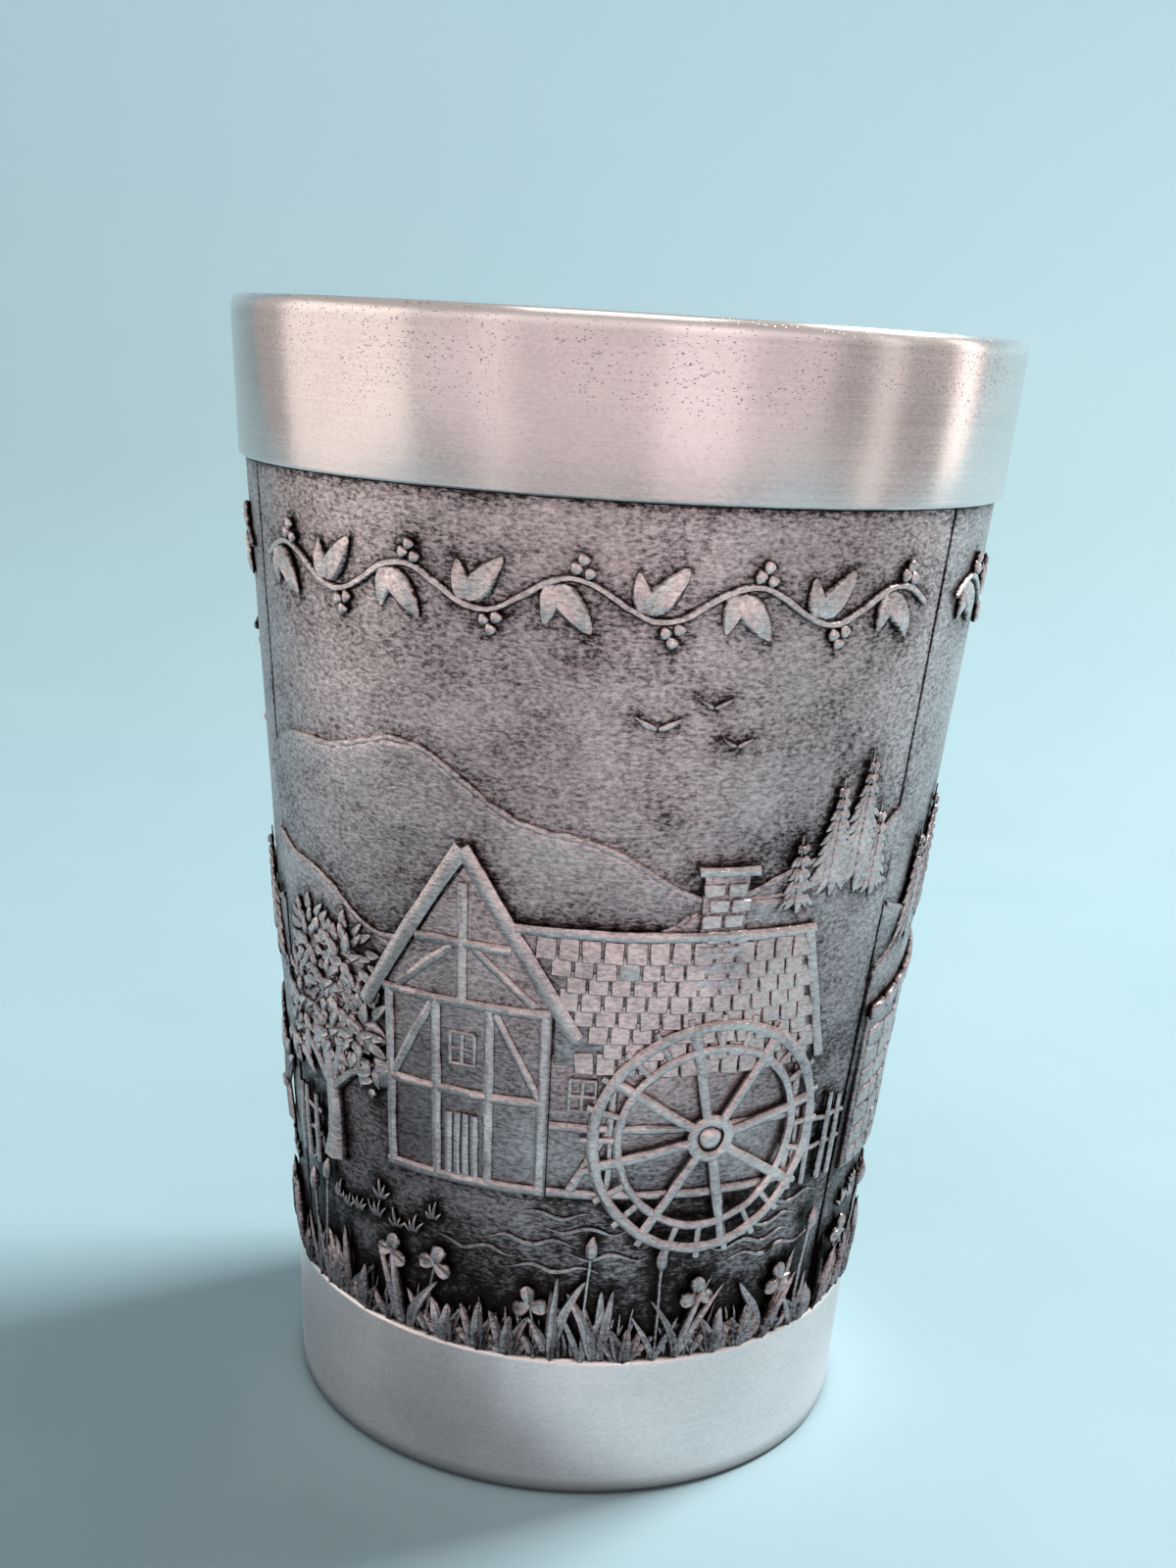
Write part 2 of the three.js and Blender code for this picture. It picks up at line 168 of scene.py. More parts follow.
def add_shares(tree, *parts):
    """The sum of some values, each times its share."""
    total = 0.0
    for value, share in parts:
        sockets = {0: value, 1: share, 2: total}
        total = add_node(tree, "ShaderNodeMath", sockets, operation="MULTIPLY_ADD").outputs[0]
    return total


def add_mix(tree, factor, first, second):
    """Mixes two colours, each a value or a link."""
    return add_node(tree, "ShaderNodeMix", {0: factor, 6: first, 7: second}, data_type="RGBA").outputs[2]


def finish_metal(tree, shader, colour, roughness, relief, strength, depth):
    """Gives a metal its colour, its roughness and its bump."""
    bump = add_node(tree, "ShaderNodeBump", {"Height": relief, "Strength": strength, "Distance": depth})
    for socket, value in (("Base Color", colour), ("Roughness", roughness), ("Normal", bump.outputs[0])):
        tree.links.new(value, shader.inputs[socket])
    shader.inputs["Metallic"].default_value = 1.0


cloud_share = 0.4
pit_black = (0.06, 0.035, 0.03, 1)
pit_stretch = (5600, 5600, 10500)
# Pale tone that turned pewter is painted towards above a given height: partly polish, partly a painted
# highlight.
polish_and_highlight_tone = (0.93, 0.87, 0.83, 1)
polish_and_highlight_edge = 0.2 * mm
# Painted contact shadow: turned pewter is painted nearly black towards its lowest 1.5 mm.
contact_shadow_tone = (0.10, 0.085, 0.08, 1)
contact_shadow_height = 1.5 * mm


def satin_pewter(name, light, dark, pit_amount, pit_heights, roughness, polish_and_highlight_from=1.0, ring_share=0.35):
    """Bright pewter turned on a lathe: fine rings, soft cloudy dull patches and small dark casting pits.
    Above a given height it is painted paler, partly polish and partly a painted highlight, and towards its
    lowest 1.5 mm it is painted nearly black as a contact shadow.
    """
    material, tree, shader = new_material(name)
    rings = add_noise(tree, (35, 35, 7000), 3)
    clouds = add_noise(tree, (90, 90, 140), 3)
    speckle = add_noise(tree, (2600, 2600, 5200), 2)
    speckle_share = 1 - cloud_share - ring_share
    tone = add_shares(tree, (rings, ring_share), (clouds, cloud_share), (speckle, speckle_share))
    colour = add_mix(tree, add_range(tree, tone, 0.38, 0.62), dark, light)
    drawn_out = add_stretch(tree, pit_stretch)
    cells = add_node(tree, "ShaderNodeTexVoronoi", {"Vector": drawn_out, "Scale": 1.0, "Randomness": 1.0})
    chosen = add_node(tree, "ShaderNodeSeparateColor", {"Color": cells.outputs["Color"]}).outputs["Red"]
    height = add_axis(tree, "Z")
    crowd = add_range(tree, height, *pit_heights)
    crowd = add_math(tree, "MULTIPLY", crowd, add_range(tree, clouds, 0.32, 0.52))
    size = add_math(tree, "MULTIPLY", crowd, add_range(tree, chosen, 0.8, 1.0, 0.0, pit_amount))
    pit = add_range(tree, add_math(tree, "SUBTRACT", size, cells.outputs["Distance"]), 0.0, 0.1)
    # Above the given height the colour is painted paler: partly the polish of a worn edge, partly a painted
    # highlight.
    polish_and_highlight = add_range(tree, height, polish_and_highlight_from - polish_and_highlight_edge, polish_and_highlight_from + polish_and_highlight_edge, 0.0, 0.8)
    colour = add_mix(tree, polish_and_highlight, colour, polish_and_highlight_tone)
    # Painted contact shadow near the bottom.
    contact_shadow = add_range(tree, height, 0.0, contact_shadow_height, 0.95, 0.0)
    colour = add_mix(tree, contact_shadow, colour, contact_shadow_tone)
    colour = add_mix(tree, add_math(tree, "MULTIPLY", pit, 0.6), colour, pit_black)
    gloss = add_range(tree, add_math(tree, "ADD", tone, pit), 0.35, 0.9, *roughness)
    finish_metal(tree, shader, colour, gloss, add_shares(tree, (tone, 0.5), (pit, -1.0)), 0.35, 0.06 * mm)
    shader.inputs["Anisotropic"].default_value = 0.55
    shader.inputs["Anisotropic Rotation"].default_value = 0.25
    tangent = add_node(tree, "ShaderNodeTangent", direction_type="RADIAL", axis="Z")
    tree.links.new(tangent.outputs[0], shader.inputs["Tangent"])
    return material


# The foot's top edge and burr are painted paler: partly polish, partly a painted highlight.
foot_pewter = satin_pewter("foot_satin_pewter", (0.92, 0.815, 0.805, 1), (0.75, 0.65, 0.64, 1),
                           pit_amount=0.4, pit_heights=(0.0, 12 * mm), roughness=(0.28, 0.46),
                           polish_and_highlight_from=foot_high.z - polish_and_highlight_edge, ring_share=0.2)
foot_top = foot_high.z
foot_inner = plate_radius(foot_top) - plate_thickness
ledge_top = wall_low.z - solder_gap
foot_section = [
    (foot_ledge_radius, foot_low.z),
    (foot_base_radius, foot_low.z),
    (foot_high.x, foot_top),
    (foot_high.x - burr_width, foot_top + burr_height),
    (foot_inner, foot_top),
    (plate_radius(ledge_top) - plate_thickness, ledge_top),
    (foot_ledge_radius, ledge_top),
]
foot = turned(foot_section)
rounded(foot, foot_section[1], foot_edge_radius, 5)
rounded(foot, foot_section[0], foot_corner, 2)
rounded(foot, foot_section[2], foot_corner, 4)
for vert in foot.verts:
    if vert.co.z > foot_top - burr_reach:
        ragged = noise.noise(vert.co * burr_scale) + 0.6 * noise.noise(vert.co * fine_burr_scale)
        vert.co.z += burr_wave * ragged
        vert.co.xy *= 1 + burr_drift * noise.noise(vert.co * drift_scale)
finished("foot_band_turned", foot, foot_pewter, "satin_pewter", "foot_band")

# Floor disc: a turned disc of pewter on the foot band's ledge. It is faced on the lathe, which leaves
# shallow rings round its middle, on both sides.
inner_pewter = satin_pewter("inner_satin_pewter", (0.66, 0.61, 0.59, 1), (0.47, 0.43, 0.42, 1),
                            pit_amount=0.3, pit_heights=(-0.1, 0.1), roughness=(0.36, 0.5))
floor_low, floor_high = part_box("floor_disc")
disc_ring_pitch = 1.6 * mm
disc_ring_depth = 0.035 * mm
disc_radius = floor_high.x - 0.15 * mm
disc_steps = 60
disc_section = [(0, floor_low.z)]
outward = range(1, disc_steps + 1)
for face_z, way, steps in ((floor_low.z, 1, outward), (floor_high.z, -1, reversed(outward))):
    for step in steps:
        radius = disc_radius * step / disc_steps
        groove = disc_ring_depth * math.sin(math.tau * radius / disc_ring_pitch) ** 2
        disc_section.append((radius, face_z + way * groove))
disc_section.append((0, floor_high.z))
finished("floor_disc_faced", turned(disc_section), inner_pewter, "inner_pewter", "floor_disc")

# Cup wall: the plain inner wall that holds the drink, a cast and turned taper that stands on the foot
# band's ledge and ends under the lip. Its bore keeps very shallow turning rings.
wall_thickness = 1.2 * mm
wall_rows = 90
bore_rings = ((0.012 * mm, 2.3), (0.02 * mm, 0.37))


def wall_outside(z):
    """Outer radius of the wall at a height, behind the plates and their solder."""
    return plate_radius(z) - plate_thickness - solder_gap


wall_section = []
for row in range(wall_rows + 1):
    z = wall_low.z + (wall_high.z - wall_low.z) * row / wall_rows
    ring = sum(depth * math.sin(row * pace) for depth, pace in bore_rings)
    wall_section.append((wall_outside(z) - wall_thickness + ring, z))
wall_section.append((wall_outside(wall_high.z), wall_high.z))
wall_section.append((wall_outside(wall_low.z), wall_low.z))
finished("cup_wall_turned", turned(wall_section), inner_pewter, "inner_pewter", "cup_wall")

# Floor solder: a run of pewter solder drawn round the inside corner, between the floor and the wall,
# wiped to a hollow face that is never quite even.
solder_low, solder_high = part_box("floor_solder")
solder_size = solder_high.z - solder_low.z
solder_edge = 0.25 * mm
solder_skin = 0.1 * mm
solder_wave, wave_scale = 0.08 * mm, 220
solder_steps = 6
solder_radius = plate_radius(solder_low.z) - plate_thickness - wall_thickness - 2 * solder_gap
solder_section = [(solder_radius - solder_size, solder_low.z), (solder_radius, solder_low.z),
                  (solder_high.x - 0.02 * mm, solder_high.z)]
solder_hollow = solder_size - solder_edge
for step in range(solder_steps + 1):
    angle = math.radians(90 * step / solder_steps)
    solder_section.append((solder_radius - solder_size + solder_hollow * math.cos(angle),
                           solder_high.z - solder_hollow * math.sin(angle)))
solder = turned(solder_section)
for vert in solder.verts:
    inside = solder_radius - vert.co.xy.length
    if inside > solder_skin and vert.co.z > solder_low.z + solder_skin:
        vert.co.z += solder_wave * noise.noise(vert.co * wave_scale)
finished("floor_solder_run", solder, inner_pewter, "inner_pewter", "floor_solder")

# Relief plates: three cast pewter plates, each bent round a third of the cup and held by its edges behind
# the bands. The casting is blackened all over, then rubbed back, so the hollows stay dark.
plate_angle = math.tau / 3
plate_height = plate_top - plate_bottom
plate_middle_radius = plate_radius((plate_bottom + plate_top) / 2)
plate_width = plate_middle_radius * plate_angle
half_width = plate_width / mm / 2
seam_margin = 0.4
seam_half = 0.14 * mm


def bend(u, v, lift, turn):
    """Point of the cup for a flat design: u along the plate, v up from its foot, lift off its face."""
    z = plate_bottom + v
    radius = plate_radius(z)
    half = plate_angle / 2 - math.asin(seam_half / radius)
    angle = turn + 2 * half * u / plate_width
    radius += lift
    return Vector((radius * math.sin(angle), -radius * math.cos(angle), z))


patina_black = (0.020, 0.014, 0.012, 1)
patina_tones = ((0.14, (0.085, 0.068, 0.069, 1)), (0.32, (0.305, 0.252, 0.257, 1)),
                (0.60, (0.58, 0.495, 0.49, 1)))
rubbed_tone = (0.90, 0.79, 0.75, 1)
smooth_below = 40 * mm
grained_above = 68 * mm


def antique_pewter(name, shade=0.0):
    """Blackened cast pewter, rubbed bright where the relief stands up and dark in its hollows. The dark
    attribute also carries painted shade, and the shade given darkens all of it.
    """
    material, tree, shader = new_material(name)
    grain = add_noise(tree, (2100, 2100, 3900), 3, 0.7)
    fine = add_noise(tree, (900, 900, 6500), 2, 0.6)
    clouds = add_noise(tree, (120, 120, 160), 4, 0.65)
    lift = add_node(tree, "ShaderNodeAttribute", attribute_name="relief").outputs["Fac"]
    patina_and_shade = add_node(tree, "ShaderNodeAttribute", attribute_name="patina_and_shade").outputs["Fac"]
    grain_share = add_range(tree, add_axis(tree, "Z"), smooth_below, grained_above, 0.32, 0.48)
    rub = add_shares(tree, (add_range(tree, grain, 0.34, 0.66), grain_share),
                     (add_range(tree, fine, 0.3, 0.7), 0.12),
                     (add_range(tree, clouds, 0.3, 0.7, 0.02 - shade, 0.29 - shade), 1.0),
                     (lift, 1.0), (patina_and_shade, -1.0))
    ramp = add_node(tree, "ShaderNodeValToRGB", {"Fac": rub})
    stops = ramp.color_ramp.elements
    stops[0].color = patina_black
    stops[1].color = rubbed_tone
    for position, tone in patina_tones:
        stops.new(position).color = tone
    gloss = add_range(tree, rub, 0.0, 1.0, 0.46, 0.2)
    rough = add_shares(tree, (grain, 1.0), (fine, 0.3))
    finish_metal(tree, shader, ramp.outputs[0], gloss, rough, 0.5, 0.14 * mm)
    return material


dark_pewter = antique_pewter("antique_cast_pewter")
plate_sides = ("front", "right", "left")
plate_turn = {side: index * plate_angle for index, side in enumerate(plate_sides)}
raised_points = {side: [] for side in plate_sides}
rub_start = 0.1
rub_span = 0.7
low_rub = 0.35
wear_spread, wear_scale = 0.7, 0.35
full_face = 0.6
side_shade = 0.6
foot_shade = 0.22
foot_reach = 4.5
hand_sway, sway_scale = 0.1, 0.9
sway_seed = 5
noise.seed_set(sway_seed)


def press(name, side, bm, rub=0.22, shades_ground=True):
    """Bends a flat raised form, drawn in millimetres, onto its plate, with a rubbed top and dark sides."""
    relief = bm.verts.layers.float.new("relief")
    bm.normal_update()
    bmesh.ops.recalc_face_normals(bm, faces=bm.faces)
    bm.normal_update()
    for vert in bm.verts:
        u, v, lift = vert.co
        u = max(seam_margin - half_width, min(half_width - seam_margin, u))
        if shades_ground:
            raised_points[side].append((u, v))
        facing = min(1, max(0, vert.normal.z) / full_face)
        height = min(1, max(0, (lift - rub_start) / rub_span))
        worn = 1 + wear_spread * noise.noise(Vector((u * wear_scale, v * wear_scale, 4.0)))
        vert[relief] = (rub * worn * (low_rub + (1 - low_rub) * height) * facing
                        - side_shade * (1 - facing) * (1 - height)
                        - foot_shade * max(0, 1 - v / foot_reach))
        sway = noise.noise_vector(Vector((u * sway_scale, v * sway_scale, plate_turn[side]))) * hand_sway
        vert.co = bend((u + sway.x) * mm, (v + sway.y) * mm, (lift + 0.5 * sway.z) * mm, plate_turn[side])
    finished(f"{name}_{side}", bm, dark_pewter, "dark_pewter", crease=40)


def rod(bm, path, widths, sides=8, depth=0.8):
    """A raised bar, stem or ridge: a many-sided section along a path, with its half-width at each point."""
    face = previous = None
    for index, point in enumerate(path):
        along = (path[min(index + 1, len(path) - 1)] - path[max(index - 1, 0)]).normalized()
        across = Vector((along.y, -along.x, 0)).normalized()
        outward = across.cross(along)
        width = widths[min(index, len(widths) - 1)]
        section = Matrix((across * width, outward * width * depth, along)).transposed().to_4x4()
        section.translation = point
        if face is None:
            ring = bmesh.ops.create_circle(bm, cap_ends=True, segments=sides, radius=1.0,
                                           matrix=section @ Matrix.Rotation(math.pi / sides, 4, "Z"))
            face = ring["verts"][0].link_faces[0]
        else:
            grown = bmesh.ops.extrude_face_region(bm, geom=[face])["geom"]
            face = [g for g in grown if isinstance(g, bmesh.types.BMFace)][0]
            bmesh.ops.transform(bm, matrix=section @ previous.inverted(), verts=face.verts)
        previous = section


bar_cut = 1.5
slab_cut = 1.2


def bar(bm, start, end, width, lift, depth=0.8):
    """A straight raised bar between two flat points, cut often enough to follow the plate's bend."""
    start, end = Vector((*start, lift)), Vector((*end, lift))
    cuts = max(1, round((end - start).length / bar_cut))
    rod(bm, [start.lerp(end, step / cuts) for step in range(cuts + 1)], [width / 2], 8, depth)


leaf_ball = bpy.data.meshes.new("leaf_ball")
ball = bmesh.new()
bmesh.ops.create_uvsphere(ball, u_segments=8, v_segments=7, radius=1.0)
ball.to_mesh(leaf_ball)
ball.free()


def leaf(bm, base, tip, width, lift, thick=0.3, crease=0.35, curl=0.0):
    """A pointed leaf, blade or petal: a ball drawn out to a point, with a pressed middle vein."""
    base, tip = Vector((*base, 0)), Vector((*tip, 0))
    along = tip - base
    across = Vector((along.y, -along.x, 0)).normalized()
    before = len(bm.verts)
    bm.from_mesh(leaf_ball)
    for vert in bm.verts[:][before:]:
        x, y, z = vert.co
        s = (z + 1) / 2
        x *= 1.2 - 0.75 * s
        y -= crease * max(0, 1 - 2.2 * abs(x)) if y > 0 else 0
        vert.co = base + along * s + across * (width / 2 * x + curl * along.length * s * s)
        vert.co.z = lift + thick * y


def slab(bm, outline, lift, edge=0.18):
    """A flat raised field with softened edges, cut in upright strips so that it follows the plate's bend."""
    face = bm.faces.new([bm.verts.new((u, v, -0.3)) for u, v in outline])
    grown = bmesh.ops.extrude_face_region(bm, geom=[face])["geom"]
    top = [g for g in grown if isinstance(g, bmesh.types.BMFace)][0]
    for vert in top.verts:
        vert.co.z = lift
    bmesh.ops.bevel(bm, geom=list(top.edges), offset=edge, offset_type="OFFSET", affect="EDGES",
                    segments=2, profile=0.5, material=-1)
    low, high = min(u for u, v in outline), max(u for u, v in outline)
    for cut in range(1, int((high - low) / slab_cut)):
        bmesh.ops.bisect_plane(bm, geom=bm.verts[:] + bm.edges[:] + bm.faces[:], dist=1e-5,
                               plane_co=(low + cut * slab_cut, 0, 0), plane_no=(1, 0, 0))


def tile(bm, centre, size, lift, tilt=0.0, turn=0.0):
    """A small raised block with softened edges: a stone, shingle or grain."""
    matrix = (Matrix.Translation((centre[0], centre[1], lift)) @ Matrix.Rotation(turn, 4, "Z")
              @ Matrix.Rotation(tilt, 4, "X") @ Matrix.Diagonal((*size, 1)))
    cube = bmesh.ops.create_cube(bm, size=1.0, matrix=matrix)["verts"]
    edges = list(dict.fromkeys(edge for vert in cube for edge in vert.link_edges))
    bmesh.ops.bevel(bm, geom=edges, offset=min(size) * 0.3, offset_type="OFFSET", affect="EDGES",
                    segments=1, profile=0.5, material=-1)


# Running border: a wavy stem with two leaves and three berries in each bend, cast round the top of every
# plate. It stands a little off the ground and is rubbed brighter than the scene below it.
border_height = 59.3
border_wave = 1.3
border_bends = 9
border_margin = 4.5
border_rub = 0.36
bend_steps = 10
berry_places = ((0.3, 2.0), (1.15, 1.75), (0.75, 2.65))
berry_half = 0.42
for side in plate_sides:
    border = bmesh.new()
    border_span = plate_width / mm - border_margin
    bend_length = border_span / border_bends
    stem = []
    for step in range(border_bends * bend_steps + 1):
        u = -border_span / 2 + border_span * step / (border_bends * bend_steps)
        phase = math.pi * (u + border_span / 2) / bend_length
        stem.append(Vector((u, border_height + border_wave * math.sin(phase), 0.16)))
    rod(border, stem, [0.3], 6)
    for bend_index in range(border_bends):
        way = 1 if bend_index % 2 == 0 else -1
        u = -border_span / 2 + bend_length * (bend_index + 0.5)
        inside = border_height - way * 1.0
        leaf(border, (u - 1.1, border_height + way * 0.7), (u + 1.7, inside - way * 1.15),
             2.3, 0.22, 0.4, 0.5, 0.1 * way)
        leaf(border, (u - 1.0, border_height + way * 0.9), (u - 1.9, inside - way * 0.9),
             1.7, 0.18, 0.36, 0.5, -0.1 * way)
        for du, dv in berry_places:
            berry_u = u + du
            berry_v = border_height + way * dv
            leaf(border, (berry_u - berry_half, berry_v), (berry_u + berry_half, berry_v),
                 1.15, 0.22, 0.36, 0.0)
    press("leaf_border", side, border, rub=border_rub)


# Hills: soft rounded hills across each plate, each with a thin bright ridge along its top and furrowed
# fields below. They are part of the casting's ground.
def hill_line(base, swell, crest, reach, rough, pace, phase=0):
    """The top of a hill along a plate: a long swell with its crest at one place, and a short rough wave."""
    return lambda u: base + swell * math.cos((u - crest) / reach) + rough * math.sin(u / pace + phase)


ridges = {
    "front": (hill_line(43.0, 4.4, -15, 8.8, 0.8, 2.3), hill_line(35.5, 3.4, 21, 9.0, 0.5, 1.7, 1)),
    "right": (hill_line(38.0, 3.6, 8, 10.0, 0.7, 2.6), hill_line(31.0, 2.8, -14, 8.0, 0.5, 1.9)),
    "left": (hill_line(34.5, 3.2, -2, 9.0, 0.6, 2.1), hill_line(27.5, 2.4, 12, 7.5, 0.5, 1.6)),
}
ridge_steps = 96
hill_lift = 0.26
hill_step = 0.04
hill_fall = 8
furrow_lift = 0.035
furrow_fall = 6
bank_top = 11
bank_lift = 0.10
for side in plate_sides:
    hills = bmesh.new()
    for level, ridge in enumerate(ridges[side]):
        line = []
        widths = []
        for step in range(ridge_steps + 1):
            u = (half_width - seam_margin) * (2 * step / ridge_steps - 1)
            jag = noise.noise(Vector((u * 0.9, level * 7.0, 0.0)))
            line.append(Vector((u, ridge(u) + 0.16 * jag, 0.15 + 0.03 * jag)))
            widths.append(0.27 + 0.08 * noise.noise(Vector((u * 1.7, level * 5.0, 3.0))))
        rod(hills, line, widths, 8, 0.62)
    press("hill_ridges", side, hills, rub=0.12, shades_ground=False)


def ground_lift(side, u, v):
    """Height of the casting's ground in millimetres: hills that fall away below their ridges, and furrows."""
    lift = 0.04 * noise.noise(Vector((u * 0.3, v * 0.3, plate_turn[side])))
    for level, ridge in enumerate(ridges[side]):
        below = ridge(u) - v
        if below > 0:
            lift += (hill_lift - hill_step * level) * math.exp(-below / hill_fall)
            if level == 1:
                wander = 2 * noise.noise(Vector((u * 0.12, v * 0.12, 2.0)))
                furrow = math.sin(2.6 * below + 0.5 * u + wander)
                lift += furrow_lift * furrow * math.exp(-below / furrow_fall)
    bank = max(0, 1 - v / bank_top)
    lift += bank_lift * noise.noise(Vector((u * 0.8, v * 0.8, 9.0))) * bank
    return lift


# Watermill on the front plate: plastered walls with raised timber framing, a shingled roof, a stone
# chimney and a spoked wheel that dips into the stream. All of it is raised out of the same casting.
mill_u, mill_v = 3.4, 14.0
mill_scale = 1.3
gable = [(-13, 0), (-2.5, 0), (-2.5, 11.5), (-7.75, 19.5), (-13, 11.5)]
wing = [(-2.5, 0), (13.5, 0), (13.5, 9), (-2.5, 9)]
wing_roof = [(-2.4, 8.4), (14.6, 8.4), (12.2, 16.2), (-4.96, 16.2), (-2.4, 12.15)]


def at_mill(points):
    """Points of the mill's own drawing, at its place and scale on the plate."""
    return [(mill_u + mill_scale * u, mill_v + mill_scale * v) for u, v in points]


def mill_bar(bm, start, end, width, lift, depth=0.8):
    """A raised bar between two points of the mill's own drawing."""
    bar(bm, *at_mill([start, end]), width, lift, depth)


def window_bars(u, v, half_u, half_v, reach):
    """The uprights and the crossbars of a window of four panes, each as a pair of points."""
    uprights = [((u + du, v - half_v), (u + du, v + half_v)) for du in (-half_u, 0, half_u)]
    return uprights + [((u - reach, v + dv), (u + reach, v + dv)) for dv in (-half_v, 0, half_v)]


walls = bmesh.new()
slab(walls, at_mill(wing), 0.34)
slab(walls, at_mill(wing_roof), 0.5)
slab(walls, at_mill(gable), 0.46)
slab(walls, at_mill([(5.2, 13), (7.8, 13), (7.8, 20.2), (5.2, 20.2)]), 0.56)
press("mill_walls", "front", walls, rub=-0.04)

timber = bmesh.new()
gable_frame = [((-12.6, 0.3), (-12.6, 11.5)), ((-2.9, 0.3), (-2.9, 11.5)), ((-9.4, 0.3), (-9.4, 11.5)),
               ((-6.1, 0.3), (-6.1, 11.5)), ((-7.75, 11.5), (-7.75, 18.6)), ((-12.9, 0.4), (-2.6, 0.4)),
               ((-12.9, 5.9), (-2.6, 5.9)), ((-12.9, 11.4), (-2.6, 11.4)), ((-10.6, 15.0), (-4.9, 15.0))]
gable_braces = [((-12.4, 6.2), (-9.7, 11.1)), ((-3.1, 6.2), (-5.8, 11.1)), ((-12.0, 11.8), (-8.4, 14.8)),
                ((-3.5, 11.8), (-7.1, 14.8))]
wing_frame = [((-2.4, 0.4), (13.3, 0.4)), ((-2.4, 4.6), (13.3, 4.6)), ((13.1, 0.3), (13.1, 8.6)),
              ((1.2, 0.3), (1.2, 8.6)), ((-1.0, 0.6), (1.0, 4.4))]
gable_peak = (-7.75, 20.6)
for beams, width, lift in ((gable_frame, 0.86, 0.5), (gable_braces, 0.72, 0.48), (wing_frame, 0.8, 0.4)):
    for start, end in beams:
        mill_bar(timber, start, end, width, lift)
for eave in ((-14.4, 10.1), (-1.1, 10.1)):
    mill_bar(timber, eave, gable_peak, 1.3, 0.62, 0.5)
for window_u, window_v in ((-7.75, 8.6), (-0.6, 6.6)):
    for start, end in window_bars(window_u, window_v, 0.75, 0.95, 0.8):
        mill_bar(timber, start, end, 0.36, 0.5)
for board in range(4):
    door_u = -8.6 + board * 0.56
    mill_bar(timber, (door_u, 0.7), (door_u, 4.6), 0.66, 0.52)
press("mill_timber", "front", timber)

roof = bmesh.new()
dice = random.Random(11)
shingle_rows, shingle_columns = 8, 15
shingle_step, row_step = 1.22, 0.96
shingle_size = (1.12 * mill_scale, 1.35 * mill_scale, 0.34)
shingle_tilt = -0.16
roof_lean = -2.0
barge_u, barge_v, barge_slope = -1.1, 10.1, 0.633
for row in range(shingle_rows):
    row_v = 8.7 + row * row_step
    shift = roof_lean * (row + 0.5) / shingle_rows
    barge = barge_u - barge_slope * (row_v - barge_v) if row_v > 9.2 else -2.3
    for column in range(shingle_columns):
        u = -2.95 + shift + column * shingle_step + (0.6 if row % 2 else 0)
        if barge + 0.75 < u < 13.8 + shift:
            place = at_mill([(u, row_v + dice.uniform(-0.06, 0.06))])[0]
            lift = 0.56 + dice.uniform(-0.03, 0.03)
            tile(roof, place, shingle_size, lift, shingle_tilt, dice.uniform(-0.05, 0.05))
mill_bar(roof, (-5.4, 16.4), (12.4, 16.4), 0.8, 0.58)
mill_bar(roof, (14.4, 8.2), (12.0, 16.4), 0.9, 0.58)
chimney_stone = (1.15 * mill_scale, 0.8 * mill_scale, 0.36)
for row in range(7):
    for column in range(2):
        u = 5.85 + column * 1.3 + (0.25 if row % 2 else -0.1)
        tile(roof, at_mill([(u, 13.6 + row * 0.92)])[0], chimney_stone, 0.58, 0, dice.uniform(-0.04, 0.04))
mill_bar(roof, (4.8, 20.2), (8.2, 20.2), 0.8, 0.64)
press("mill_roof", "front", roof)

wheel = bmesh.new()
wheel_centre = at_mill([(7.2, 4.0)])[0]
wheel_radius = 9.2
wheel_spokes = 8
wheel_paddles = 24
paddle_root = wheel_radius - 1.9
paddle_tip = wheel_radius + 0.9


def round_bar(bm, centre, radius, width, lift, steps=72):
    """A raised ring: a small section turned about its own middle."""
    ring = [Vector((centre[0] + radius * math.cos(math.tau * s / steps),
                    centre[1] + radius * math.sin(math.tau * s / steps), lift)) for s in range(steps + 1)]
    rod(bm, ring, [width / 2], 8)


def boss(bm, centre, radius, lift):
    """A round button on the middle of a wheel."""
    place = Matrix.Translation((*centre, lift)) @ Matrix.Diagonal((radius, radius, 0.4, 1))
    bmesh.ops.create_uvsphere(bm, u_segments=12, v_segments=8, radius=1.0, matrix=place)


round_bar(wheel, wheel_centre, wheel_radius, 0.95, 0.84)
round_bar(wheel, wheel_centre, paddle_root, 0.72, 0.82)
round_bar(wheel, wheel_centre, 1.5, 0.9, 0.86, 32)
boss(wheel, wheel_centre, 0.95, 0.8)
for count, turn, start, end, width, lift in ((wheel_spokes, 0.3, 1.2, wheel_radius - 0.2, 0.85, 0.8),
                                             (wheel_paddles, 0, paddle_root, paddle_tip, 0.55, 0.78)):
    for index in range(count):
        angle = math.tau * (index + turn) / count
        way = Vector((math.cos(angle), math.sin(angle)))
        bar(wheel, Vector(wheel_centre) + way * start, Vector(wheel_centre) + way * end, width, lift)
press("mill_wheel", "front", wheel)

# Trees: leafy oaks with a forked trunk and overlapping leaves, and small firs with drooping tiers of
# branches. They are cast with the plate, and each leaf was cut into its mould by hand.
oak_branches = ((-0.28, 0.22), (0.3, 0.2), (-0.12, 0.38), (0.15, 0.36))
oak_clumps = ((0, 0.82, 0.25), (-0.24, 0.66, 0.22), (0.25, 0.66, 0.22), (-0.12, 0.98, 0.19),
              (0.15, 0.97, 0.19), (-0.36, 0.5, 0.16), (0.37, 0.5, 0.15), (0.02, 0.6, 0.18))
clump_rings = ((1.0, 15), (0.68, 11), (0.34, 6), (0.02, 2))


